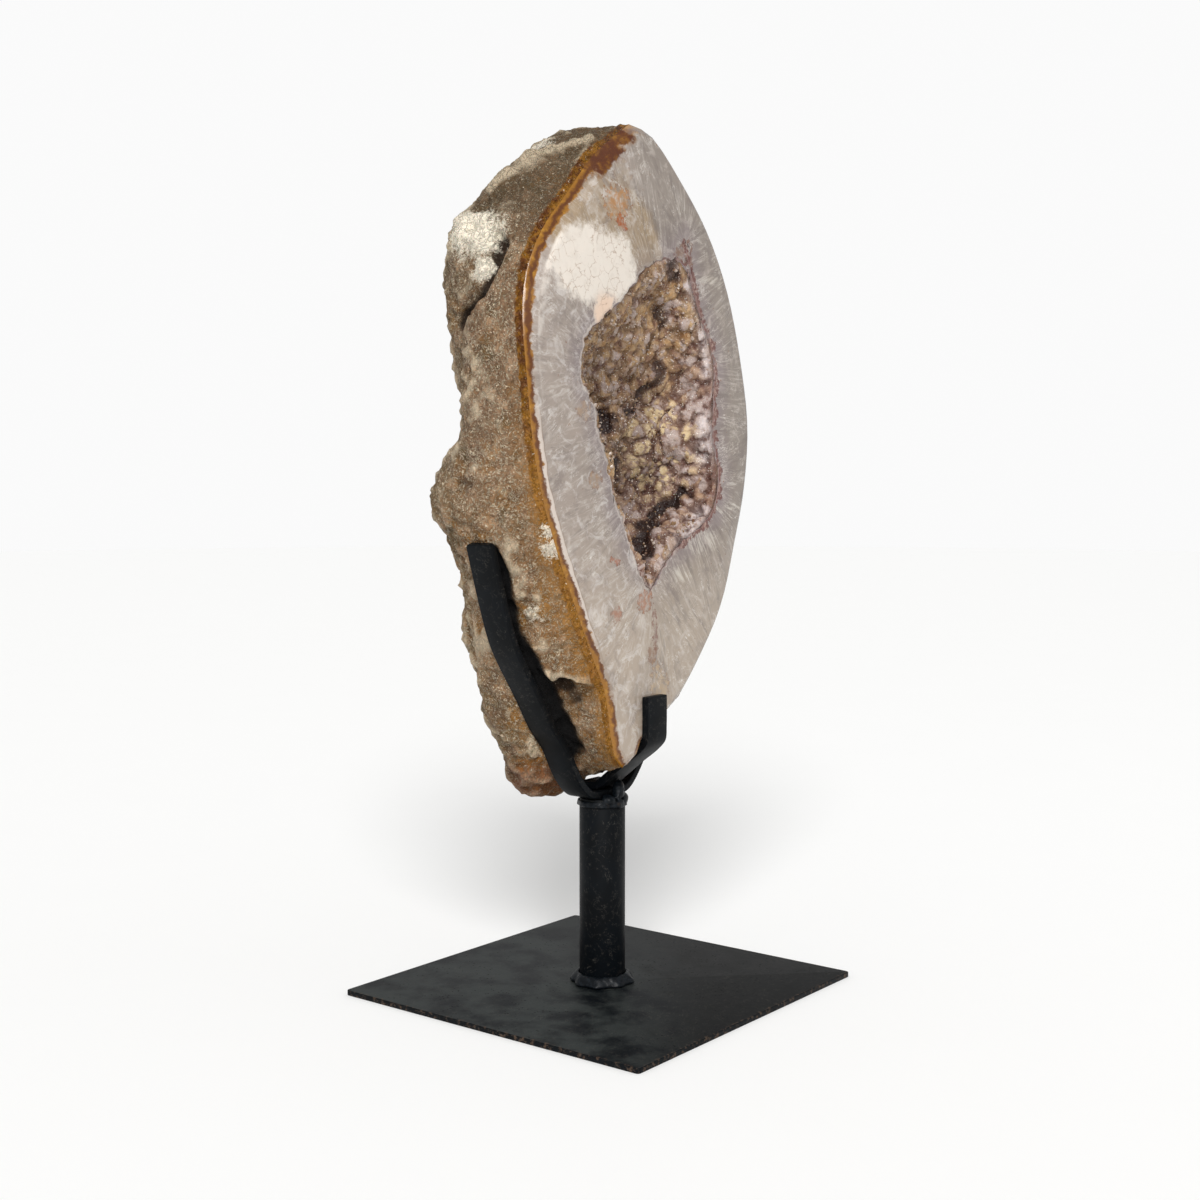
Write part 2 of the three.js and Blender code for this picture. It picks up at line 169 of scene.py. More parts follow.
# Radius of a round lump of the lining, in the usual distance between two lumps
LUMP_REACH = 0.75

# The lining: how often it is smoothed, the height of its grains, and what it grows by where shown and hidden
DRUSE_SMOOTHING = 30
GRAIN_HEIGHT = 0.3
SHOWN_RISE = 0.2
HIDDEN_RISE = 0.9

# How far the lining stays back from the face on the left, where the mouth's edge overhangs
EDGE_RECESS = 3.6

# Pale crusts on the rind: a centre and radii of the large ones, and one radius of the small ones
RIND_CHALK = (((-69, 8, 304), (9, 14, 9)), ((-71, 3, 290), (5, 6, 5)))
CHALK_SPOTS = (
    ((-57, -20, 185), 3.4), ((-60, -20, 192), 2.6), ((-54, -9, 161), 3.0), ((-30, 8, 342), 6),
    ((-52, 5, 325), 2.5),
)

# Chalky patch and darkest amber of the polished face: a centre and radii
FACE_CHALK = (((-37, -22, 294), (23, 60, 15)), ((-17, -22, 293), (11, 60, 13)), ((-27, -22, 277), (7, 60, 8)))
FACE_AMBER = (((-23, -18, 336), (12, 60, 10)), ((-13, -18, 345), (8, 60, 4)))

# Stains and crystal streaks on the polished face: a centre, radii, and a stain's screen colour and strength
FACE_STAINS = (
    ((-18, 0, 318), (8, 60, 7), (164, 112, 56), 0.75),
    ((-15, 0, 311), (3.5, 60, 3), (150, 74, 24), 0.85),
    ((-23, 0, 179), (3.4, 60, 1.5), (150, 84, 52), 0.85),
    ((-22, 0, 158), (2.8, 60, 2.8), (150, 100, 74), 0.8),
    ((-3, 0, 163), (4.0, 60, 4.6), (150, 98, 66), 0.8),
    ((-35, 0, 212), (4.5, 60, 3), (152, 122, 92), 0.7),
    ((-40, 0, 238), (5, 60, 3.5), (160, 132, 104), 0.6),
    ((2, 0, 142), (2.8, 60, 5), (120, 84, 58), 0.7),
    ((3, 0, 152), (1.4, 60, 9), (112, 70, 58), 0.7),
    ((6, 0, 128), (6, 60, 9), (172, 146, 110), 0.6),
    ((27, 0, 303), (6, 60, 5), (116, 84, 62), 0.7),
    ((-14, 0, 330), (5, 60, 5), (150, 132, 110), 0.5),
)
FACE_CRYSTALS = (
    ((48, 0, 294), (15, 60, 2.4)), ((56, 0, 199), (14, 60, 1.6)), ((38, 0, 185), (12, 60, 6)),
    ((20, 0, 172), (9, 60, 3)),
)

# Clefts and pale crystals of the lining, and its bulges: points or a centre, a radius and a height
DRUSE_CLEFTS = (
    (((25, -11, 279), (26, -10, 275)), 3.0, -1.0),
    (((31, -5, 258), (30, -2, 252), (26, 2, 246)), 3.2, -1.2),
    (((22, 3, 243), (14, 3, 239)), 2.6, -1.0),
    (((5, 2, 235), (-4, 2, 232), (-14, 1, 228)), 4.4, -1.2),
    (((6, -14, 177), (12, -11, 184), (20, -8, 190)), 5.2, -1.4),
    (((20, -8, 190), (30, -5, 196), (37, -7, 200), (42, -11, 205)), 3.2, -1.4),
    (((23, -18, 295), (18, -21, 300)), 3.2, -1.2),
    (((13, 5, 217), (6, 3, 208), (8, -2, 196)), 4.8, -1.2),
)
DRUSE_PALE = (
    (((44, -20, 236), (46, -19, 221)), 3.4, 0),
    (((46, -20, 255), (39, -21, 280), (31, -20, 291)), 2.0, 0),
    (((13, -24, 171), (16, -24, 178), (25, -22, 186), (33, -21, 191), (42, -20, 197)), 2.8, 0),
)
DRUSE_BULGES = (
    ((32, -1, 226), 14, 4.6), ((10, -3, 262), 11, 2.0), ((40, -12, 262), 8, 1.6), ((20, 3, 207), 7, 2.4),
    ((24, -14, 184), 6, 1.2),
)

# No crystal point grows further right than this near the mouth
POINT_LIMIT = 36
POINT_SIDES = 6

# Outer face of the bent bars: the strap's right arm as x and z, and the prong, below, as y and z
STRAP_ARM = (
    (0, 80.5), (12.3, 81.6), (21.3, 89.8), (29.4, 103.1), (37.1, 112.1), (45.6, 125.1),
    (57.2, 141.9), (61.6, 150), (67.2, 165.7), (73.8, 186.9),
)
STRAP_Y = 2

# Where the gap along the arm fades out: towards the back, the middle, the top, and at its edge in widths
GAP_BACK = (STRAP_Y + 5, STRAP_Y + 2)
GAP_SIDE = (-14, -17)
GAP_TOP = (188, 184)
GAP_EDGE = (1, 0.72)

PRONG_LINE = (
    (-28.3, 124.3), (-28.3, 112), (-27.8, 105.8), (-24.4, 101.8), (-16.6, 95.8), (-8, 88.9), (-2.5, 84.6),
    (2.5, 83.8), (7, 83.8),
)
BEND_STEPS = 8

# Edges that turn by more than this many degrees are rounded, or shaded as sharp
ROUNDED_ANGLE = 50
STEEL_SHARP = 30
STONE_SHARP = 38
POINT_SHARP = 5

# How often each weld's mesh is smoothed
WELD_SMOOTHING = {"foot_weld": 7, "top_weld": 24}

# The photograph's camera, in metres and degrees, and its lens and sensor in millimetres
CAMERA_PLACE = (-0.552, -0.431, 0.2162)
CAMERA_TURN = -51.94
CAMERA_RISE = 4.45
CAMERA_LENS = 51.3
CAMERA_SENSOR = 36

# Lights and floor, in metres and degrees
STAGE_MIDDLE = (0, 0, 0.2)
KEY_PLACE = (-0.9, -0.7, 1.0)
KEY_ANGLE = 28
FILL_PLACE = (0.7, -1.1, 0.5)
FILL_SIZE = 0.8
FLOOR_RADIUS = 4


def srgb(red, green, blue):
    """Colour as read from a screen, 0 to 255, as the linear colour that Blender mixes."""
    def linear(value):
        share = value / 255
        return share / 12.92 if share <= 0.04045 else ((share + 0.055) / 1.055) ** 2.4
    return linear(red), linear(green), linear(blue)


def colour(name, description, value):
    return FloatVectorProperty(
        name=name, description=description, default=srgb(*value), min=0, max=1, subtype="COLOR",
    )


def number(name, description, value, **more):
    return FloatProperty(name=name, description=description, default=value, min=0, **more)


def length(name, description, value):
    return number(name, description, value * MM, unit="LENGTH")


def count(name, description, value, most):
    return IntProperty(name=name, description=description, default=value, min=0, max=most)


class StoneSettings(bpy.types.PropertyGroup):
    """Sizes and colours of the stone."""

    facet: length("Facet", "Longest edge before the mesh is cut up", 10)
    cuts: count("Cuts", "Cuts across each facet of the stone", 4, 6)
    relief: number("Relief", "Height of the rind's own lumps", 1, max=2, subtype="FACTOR")
    waviness: length("Edge waviness", "How far the ridge of the ground bevel wanders", 0.7)
    jag: length("Mouth jaggedness", "How far the edge of the hollow wanders", 1.5)
    pale: colour("Pale agate", "Milky agate on the left and at the foot", (156, 143, 133))
    grey: colour("Grey agate", "Agate of the outer ring", (136, 126, 117))
    mauve: colour("Mauve agate", "Agate next to the hollow", (128, 116, 116))
    beige: colour("Beige agate", "Agate inside the growth line at the top", (148, 128, 102))
    strip: colour("Bevel strip", "Pinkish white of the ground bevel", (196, 184, 174))
    chalk: colour("Chalky patch", "White patches on the face and the rind", (216, 207, 196))
    amber: colour("Amber", "Stained band along the left rim", (136, 90, 18))
    dark_amber: colour("Dark amber", "Dark stain at the top of the rim", (74, 30, 4))
    rind: colour("Rind", "Ground colour of the rind", (124, 97, 72))
    rind_pale: colour("Pale rind", "Speckle on the rind", (212, 194, 166))
    rind_ochre: colour("Ochre rind", "Ochre stain low on the rind", (146, 102, 46))
    # Also laid as painted shade where the rind's relief sinks in
    rind_dark: colour("Dark rind", "Crevices of the rind", (42, 28, 16))


class DruseSettings(bpy.types.PropertyGroup):
    """Sizes and colours of the crystal lining."""

    facet: length("Facet", "Longest edge before the mesh is cut up", 7)
    cuts: count("Cuts", "Cuts across each facet of the lining", 6, 8)
    ball: length("Ball size", "Usual distance between two round clusters", 4.2)
    ball_height: length("Ball height", "How far the clusters stand out", 2.3)
    bud: length("Bud size", "Usual distance between two small lumps on a cluster", 1.9)
    bud_height: length("Bud height", "How far the small lumps stand out", 0.45)
    swell: length("Swell", "Height of the broad swellings under the clusters", 3.6)
    grain: length("Grain size", "Usual distance between two crystals on a lump", 1.1)
    points: count("Crystal points", "Number of single crystal points that are tried", 1400, 3000)
    point_size: length("Point size", "Usual width of a crystal point", 1.0)
    tan: colour("Tan", "Clusters high up and on the left", (166, 134, 98))
    # Cream is laid only where the clusters rise to their crowns: partly their colour, partly painted
    # highlight
    cream: colour("Cream", "Crowns of the clusters", (220, 196, 152))
    ochre: colour("Ochre", "Yellow crowns", (158, 112, 58))
    mauve: colour("Mauve", "Clusters low down and on the right", (150, 120, 104))
    lilac: colour("Lilac", "Crystals along the right edge", (206, 194, 192))
    # Painted shade: the red-brown laid between the clusters
    crevice_shade: colour("Dark crevice", "Red-brown between the clusters", (64, 32, 22))


class StandSettings(bpy.types.PropertyGroup):
    """Sizes and colours of the stand."""

    plate_corner: length("Plate corner", "Radius of the plate's corners", 1.6)
    plate_edge: length("Plate edge", "Rounding of the plate's edges", 0.3)
    bar_width: length("Bar width", "Width of the flat bar", 12.7)
    bar_thick: length("Bar thickness", "Thickness of the flat bar", 3)
    bar_edge: length("Bar edge", "Rounding along the bar", 0.45)
    bar_tip: length("Bar tip", "Rounding of the corners at a bar's end", 1.8)
    weld_facet: length("Weld facet", "Longest edge before a weld's mesh is cut up", 3)
    weld_cuts: count("Weld cuts", "Cuts across each facet of a weld", 2, 4)
    weld_lump: length("Weld lump", "Height of the ripples in a weld", 0.28)
    steel: colour("Steel", "Blackened steel", (7, 11, 15))
    wear: colour("Wear", "Bare or rusty steel along worn edges", (104, 84, 68))
    # Pale colour of the plate's top: partly a dusty film and partly painted sheen
    dust_and_sheen: colour("Dust", "Pale bloom on the top of the plate", (54, 58, 57))


class StageSettings(bpy.types.PropertyGroup):
    """Floor and light."""

    floor: colour("Floor", "Plain pale floor", (253, 253, 252))
    sky: number("Sky", "Strength of the light from all round", 0.5)
    backdrop: number("Backdrop", "Brightness of the plain background", 0.96)
    key: number("Key light", "Strength of the soft light at the upper left", 2.9)
    fill: number("Fill light", "Power of the light at the front right", 0.5, unit="POWER")


# Meshes


def node_mesh(name):
    """Copy of a CAD node's mesh, with its loose triangles merged."""
    bm = bmesh.new()
    bm.from_mesh(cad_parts[name].data)
    bmesh.ops.remove_doubles(bm, verts=bm.verts, dist=0.01 * MM)
    bmesh.ops.dissolve_degenerate(bm, edges=bm.edges, dist=0.01 * MM)
    return bm


def cut_edges(bm, edges, cuts, **more):
    """Cuts edges into equal parts, and the faces beside them into triangles."""
    bmesh.ops.subdivide_edges(bm, edges=edges, cuts=cuts, **more)
    bmesh.ops.triangulate(bm, faces=[face for face in bm.faces if len(face.verts) > 3])


def refine(bm, longest, cuts, wanted=lambda edge: True):
    """Halves the edges that are too long, then cuts every wanted edge into equal parts."""
    for _ in range(HALVINGS):
        long_edges = [edge for edge in bm.edges if wanted(edge) and edge.calc_length() > longest]
        cut_edges(bm, long_edges, 1)
    cut_edges(bm, [edge for edge in bm.edges if wanted(edge)], cuts, use_grid_fill=True)


def smoothed(bm, verts, times):
    for _ in range(times):
        bmesh.ops.smooth_vert(bm, verts=verts, factor=0.5, use_axis_x=True, use_axis_y=True, use_axis_z=True)


def vertex_places(bm):
    return np.array([vert.co[:] for vert in bm.verts]) / MM


def to_piece(bm, name, replaced, materials, sharp=None):
    """Makes a bmesh one piece of the object that stands for some CAD nodes."""
    mesh = bpy.data.meshes.new(name)
    for face in bm.faces:
        face.smooth = True
    bm.to_mesh(mesh)
    bm.free()
    if sharp is not None:
        mesh.set_sharp_from_angle(angle=math.radians(sharp))
    for material in materials:
        mesh.materials.append(material)
    piece = bpy.data.objects.new(name, mesh)
    bpy.context.scene.collection.objects.link(piece)
    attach(piece, "root")
    if replaced:
        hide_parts(*replaced)
    return piece


def store(mesh, name, values):
    """Keeps one number or vector for each vertex, for the shader to read."""
    kind = "FLOAT" if values.ndim == 1 else "FLOAT_VECTOR"
    attribute = mesh.attributes.new(name, kind, "POINT")
    attribute.data.foreach_set("value" if values.ndim == 1 else "vector", values.astype(np.float32).ravel())


def keep_in_box(bm):
    low, high = CAD_BOX
    for vert in bm.verts:
        vert.co = [min(max(place, least), most) for place, least, most in zip(vert.co, low, high)]


# Small maths


def smoothstep(low, high, value):
    share = np.clip((value - low) / (high - low), 0, 1)
    return share * share * (3 - 2 * share)


def face_y(z):
    """Where the polished face is at a height."""
    (low_y, low_z), (high_y, high_z) = FACE_LOW, FACE_HIGH
    return low_y + (z - low_z) * (high_y - low_y) / (high_z - low_z)


def inside(outline, x, z):
    """Whether a point is inside a closed outline."""
    crossings = 0
    for (x1, z1), (x2, z2) in zip(outline, outline[1:] + outline[:1]):
        if (z1 > z) != (z2 > z) and x < x1 + (z - z1) * (x2 - x1) / (z2 - z1):
            crossings += 1
    return crossings % 2 == 1


def nearest_on(points, lines):
    """Distance from each point to the nearest of some straight lines, and the nearest place there."""
    best = np.full(len(points), np.inf)
    nearest = np.zeros_like(points)
    for start, end in lines:
        along = end - start
        share = np.clip((points - start) @ along / (along @ along), 0, 1)[:, None]
        place = start + share * along
        away = np.linalg.norm(points - place, axis=1)
        closer = away < best
        best[closer] = away[closer]
        nearest[closer] = place[closer]
    return best, nearest


def edge_lines(edges):
    return np.array([[vert.co[:] for vert in edge.verts] for edge in edges]) / MM


def curve_through(points, steps):
    """Centripetal Catmull-Rom curve through points, with a few steps to each."""
    points = [Vector(point) for point in points]
    ends = [2 * points[0] - points[1], *points, 2 * points[-1] - points[-2]]
    line = []
    for first, start, end, last in zip(ends, ends[1:], ends[2:], ends[3:]):
        times = [0.0]
        for before, after in ((first, start), (start, end), (end, last)):
            times.append(times[-1] + math.sqrt((after - before).length))

        def between(one, other, low, high, time):
            return one.lerp(other, (time - times[low]) / (times[high] - times[low]))

        for step in range(steps):
            time = times[1] + (times[2] - times[1]) * step / steps
            a = between(first, start, 0, 1, time)
            b = between(start, end, 1, 2, time)
            c = between(end, last, 2, 3, time)
            line.append(between(between(a, b, 0, 2, time), between(b, c, 1, 3, time), 1, 2, time))
    return line + [points[-1]]


# Shader maths


class Signal:
    """Shader socket that works in Python expressions, each of which adds its Math node."""

    def __init__(self, finish, socket):
        self.finish = finish
        self.socket = socket

    def math(self, operation, *values):
        inputs = dict(enumerate(values))
        return self.finish.add("ShaderNodeMath", {"operation": operation}, inputs)

    def __add__(self, other):
        return self.math("ADD", self, other)

    __radd__ = __add__

    def __sub__(self, other):
        return self.math("SUBTRACT", self, other)

    def __rsub__(self, other):
        return self.math("SUBTRACT", other, self)

    def __mul__(self, other):
        return self.math("MULTIPLY", self, other)

    __rmul__ = __mul__

    def __abs__(self):
        return self.math("ABSOLUTE", self)

    def least(self, other):
        return self.math("MINIMUM", self, other)

    def most(self, other):
        return self.math("MAXIMUM", self, other)

    def step(self, low, high):
        """Goes smoothly from 0 at low to 1 at high."""
        return self.finish.add(
            "ShaderNodeMapRange", {"interpolation_type": "SMOOTHSTEP"},
            {"Value": self, "From Min": low, "From Max": high, "To Min": 0, "To Max": 1},
        )


class Finish:
    """One material's node tree, in which lengths are millimetres."""

    def __init__(self, name):
        self.material = bpy.data.materials.new(name)
        self.material.use_nodes = True
        self.tree = self.material.node_tree
        self.tree.nodes.clear()
        coordinates = self.add("ShaderNodeTexCoord", output="Object")
        scaled = {"Vector": coordinates, "Scale": (1 / MM, 1 / MM, 1 / MM)}
        self.place = self.add("ShaderNodeMapping", {"vector_type": "POINT"}, scaled)

    def add(self, kind, settings=None, inputs=None, output=0):
        """Adds a node: its settings first, then the values or links of its sockets."""
        node = self.tree.nodes.new(kind)
        for name, value in (settings or {}).items():
            setattr(node, name, value)
        for name, value in (inputs or {}).items():
            if isinstance(value, Signal):
                self.tree.links.new(value.socket, node.inputs[name])
            else:
                node.inputs[name].default_value = value
        return Signal(self, node.outputs[output]) if node.outputs else None

    def attribute(self, name, output="Fac"):
        return self.add("ShaderNodeAttribute", {"attribute_name": name}, output=output)

    def vector_math(self, operation, first, second):
        return self.add("ShaderNodeVectorMath", {"operation": operation}, {0: first, 1: second})

    def axes(self, vector):
        node = self.tree.nodes.new("ShaderNodeSeparateXYZ")
        self.tree.links.new(vector.socket, node.inputs[0])
        return [Signal(self, socket) for socket in node.outputs]

    def noise(self, size, detail, roughness=0.5, distortion=0, vector=None, output=0):
        return self.add("ShaderNodeTexNoise", None, {
            "Vector": vector or self.place, "Scale": 1 / size, "Detail": detail, "Roughness": roughness,
            "Distortion": distortion,
        }, output)

    def cells(self, size, feature="F1", vector=None, output=0):
        return self.add("ShaderNodeTexVoronoi", {"feature": feature}, {
            "Vector": vector or self.place, "Scale": 1 / size,
        }, output)

    def mix(self, first, second, share):
        """Colour between two, 0 to 1 of the way."""
        first, second = [value if isinstance(value, Signal) else (*value, 1) for value in (first, second)]
        return self.add(
            "ShaderNodeMix", {"data_type": "RGBA", "blend_type": "MIX", "clamp_factor": True},
            {0: share, 6: first, 7: second}, 2,
        )

    def wander(self, size, reach):
        """The place, moved about by up to half of reach."""
        moved = self.vector_math("SUBTRACT", self.noise(size, 3, 0.6, output=1), (0.5, 0.5, 0.5))
        return self.vector_math("ADD", self.place, self.vector_math("MULTIPLY", moved, (reach, reach, reach)))

    def spot(self, vector, centre, radii, soft):
        """1 inside an oval, 0 outside."""
        offset = self.vector_math("SUBTRACT", vector, centre)
        shares = self.vector_math("DIVIDE", offset, radii)
        away = self.add("ShaderNodeVectorMath", {"operation": "LENGTH"}, {0: shares}, "Value")
        return away.step(1 + soft, 1 - soft)

    def ragged(self, vector, grain, reach, *ovals):
        """1 inside any of some ovals with edges broken up by a grain, 0 outside: each a centre and radii."""
        share = None
        for centre, radii in ovals:
            oval = (self.spot(vector, centre, radii, 0.8) + (grain - 0.5) * reach).step(0.34, 0.7)
            share = oval if share is None else share.most(oval)
        return share

    def bump(self, height, distance, strength=1):
        sizes = {"Distance": distance * MM, "Strength": strength}
        return self.add("ShaderNodeBump", None, {"Height": height, **sizes})

    def surface(self, **inputs):
        """Closes the tree with a Principled shader and gives the material."""
        named = {name.replace("_", " "): value for name, value in inputs.items()}
        shader = self.add("ShaderNodeBsdfPrincipled", None, named)
        self.add("ShaderNodeOutputMaterial", None, {"Surface": shader})
        return self.material


# Stone


def stone_lines(bm):
    """Marks the faces as rind, polished or hollow, and gives the lines of the rim, ridge and mouth."""
    flat = []
    for face in bm.faces:
        x, y, z = face.calc_center_median() / MM
        if abs(y - face_y(z)) < FACE_TOLERANCE and face.normal.y < -0.98:
            face.material_index = POLISHED
            flat.append(face)
        else:
            face.material_index = HOLLOW if inside(MOUTH, x, z) and y < HOLLOW_BACK else RIND

    def on_bevel(face):
        _, y, z = face.calc_center_median() / MM
        return face.material_index == RIND and face.normal.y < -0.3 and y < face_y(z) + BEVEL_REACH

    beside = {face for level in flat for vert in level.verts for face in vert.link_faces}
    ground = {face for face in beside if on_bevel(face)}
    for face in ground:
        face.material_index = POLISHED
    rim, ridge, mouth = [], [], []
    for edge in bm.edges:
        kinds = {face.material_index for face in edge.link_faces}
        if kinds == {RIND, POLISHED}:
            rim.append(edge)
        elif kinds == {POLISHED, HOLLOW}:
            mouth.append(edge)
        elif len(set(edge.link_faces) & ground) == 1:
            ridge.append(edge)
    return [edge_lines(edges) for edges in (rim, ridge, mouth)]


def wave_ridge(bm, ridge, waviness):
    """Lets the bevel's ridge wander a little on the left, as grinding by hand leaves it."""
    corners = {tuple(np.round(point, 3)) for point in ridge.reshape(-1, 3)}
    for vert in bm.verts:
        place = vert.co / MM
        if tuple(np.round(place, 3)) in corners and place.x < -10:
            share = noise.noise(place / 9) + 0.5 * noise.noise(place / 4)
            vert.co.x += waviness * (0.6 + 1.6 * share)


def warped(place, size, reach):
    """The place, moved about by up to reach in waves of a size."""
    return place + reach * noise.noise_vector(place / size)


def rind_relief(place, rim_distance):
    """Height of the rind's own relief at a place, in millimetres."""
    calm = float(smoothstep(0, RIM_CALM, rim_distance))
    broad = float(smoothstep(4, 26, rim_distance))
    bent = warped(place, 6, 3.5)
    crag = 1 - 2.6 * abs(noise.noise(bent / 10 + CRAG_SHIFT))
    height = (0.5 + 1.2 * broad) * noise.fractal(place / 13, 0.9, 2.0, 3)
    height += (0.4 + 1.1 * broad) * crag * (0.6 + abs(noise.noise(place / 24)))
    height += 0.5 * (1 - 3 * abs(noise.noise(place / 5.2 + KNOB_SHIFT)))
    height += 0.6 * noise.fractal(place / 3.1, 0.8, 2.1, 2)
    return calm * height


def near_line(places, points):
    """Distance from each place to a bent line."""
    line = np.array(points, float)
    away, _ = nearest_on(places, list(zip(line, line[1:])))
    return away


def feature_heights(places):
    """Height of the single crests, cracks and dents at each place."""
    heights = np.zeros(len(places))
    for points, radius, rise in RIND_LINES:
        heights += rise * np.exp(-(near_line(places, points) / radius) ** 2)
    for centre, radius, rise in RIND_DENTS:
        away = np.linalg.norm(places - np.array(centre), axis=1)
        heights += rise * np.exp(-(away / radius) ** 2)
    return heights


def refine_features(bm):
    """Cuts the mesh once more along the crests and cracks, and round the dent, that show best."""
    places = vertex_places(bm)
    near = np.zeros(len(places), bool)
    for points, radius, _ in RIND_LINES[:FINE_LINES]:
        near |= near_line(places, points) < FINE_REACH * radius
    centre, radius, _ = RIND_DENTS[0]
    near |= np.linalg.norm(places - np.array(centre), axis=1) < FINE_REACH * radius
    bm.verts.index_update()
    cut_edges(bm, [edge for edge in bm.edges if all(near[vert.index] for vert in edge.verts)], 1)


def roughen_mouth(bm, mouth, jag):
    """Breaks the edge of the hollow up, as crystals that were sawn through leave it."""
    places = vertex_places(bm) * (1, 0, 1)
    away, _ = nearest_on(places, mouth * (1, 0, 1))
    for vert, distance in zip(bm.verts, away):
        reach = float(smoothstep(*MOUTH_BAND, distance))
        place = vert.co / MM
        if reach == 0 or abs(place.y - face_y(place.z)) > MOUTH_DEPTH:
            continue
        shift = noise.noise_vector(place / 4.5) + 0.7 * noise.noise_vector(place / 1.9)
        vert.co.x += jag * reach * shift.x
        vert.co.z += jag * reach * shift.z


def bars_tree():
    """Search tree over the strap and the prong."""
    verts, faces = [], []
    for name in ("strap", "front_prong"):
        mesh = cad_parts[name].data
        faces += [[len(verts) + index for index in polygon.vertices] for polygon in mesh.polygons]
        verts += [vert.co.copy() for vert in mesh.vertices]
    return BVHTree.FromPolygons(verts, faces)


def arm_gap(places, bars):
    """1 where the rind between the strap's arm and the front of the stone is sunk in and painted near black
    as shadow, 0 away from it.
    """
    away = np.array([bars.find_nearest(Vector(place) * MM)[3] / MM for place in places])
    width = np.interp(places[:, 2], *zip(*ARM_GAP_WIDTHS))
    in_front = smoothstep(*GAP_BACK, places[:, 1]) * smoothstep(*GAP_SIDE, places[:, 0])
    in_front *= smoothstep(*GAP_TOP, places[:, 2])
    return smoothstep(*GAP_EDGE, away / width) * in_front


def stone_mesh(settings):
    """The stone as a fine mesh, with the numbers that its finish reads."""
    noise.seed_set(NOISE_SEED)
    bm = node_mesh("agate")
    rim, ridge, mouth = stone_lines(bm)
    wave_ridge(bm, ridge, settings.waviness)

    def outside(edge):
        return any(face.material_index != HOLLOW for face in edge.link_faces)

    refine(bm, settings.facet, settings.cuts, outside)
    refine_features(bm)
    bars = bars_tree()
    rind = [vert for vert in bm.verts if all(face.material_index == RIND for face in vert.link_faces)]
    clear = {vert: bars.find_nearest(vert.co)[3] / MM for vert in rind}
    free = [vert for vert in rind if clear[vert] > BAR_CONTACT]
    smoothed(bm, free, RIND_SMOOTHING)
    bm.normal_update()
    bm.verts.index_update()
    places = vertex_places(bm)
    rim_distance, _ = nearest_on(places, rim)
    features = feature_heights(places)
    gap_shadow = arm_gap(places, bars)
    heights = np.zeros(len(places))
    for vert in free:
        k = vert.index
        height = settings.relief * rind_relief(vert.co / MM, rim_distance[k])
        height += features[k] * smoothstep(0, RIM_CALM, rim_distance[k])
        height -= ARM_GAP_DEPTH * gap_shadow[k]
        heights[k] = height
        room = smoothstep(*BAR_CALM, clear[vert]) if height > 0 else 1
        vert.co += vert.normal * MM * (room * height)
    for vert in free:
        place, normal, _, away = bars.find_nearest(vert.co)
        if away < BAR_SEARCH * MM and (vert.co - place).dot(normal) < BAR_CLEARANCE * MM:
            vert.co = place + normal * BAR_CLEARANCE * MM
    roughen_mouth(bm, mouth, settings.jag)
    keep_in_box(bm)
    flat_places = places * (1, 0, 1)
    rim_away, _ = nearest_on(flat_places, rim * (1, 0, 1))
    mouth_away, mouth_place = nearest_on(flat_places, mouth * (1, 0, 1))
    ridge_away, _ = nearest_on(places, ridge)
    outward = (flat_places - mouth_place) / np.maximum(mouth_away, 0.5)[:, None]
    root = mouth_place + FIBRE_ROOT * outward
    fibre = np.stack([root[:, 0], mouth_away, root[:, 2]], axis=1)
    values = {
        "rim": rim_distance, "rim_across": rim_away, "mouth": mouth_away, "ridge": ridge_away,
        "relief": heights, "fibre": fibre, "gap_shadow": gap_shadow,
    }
    return bm, values


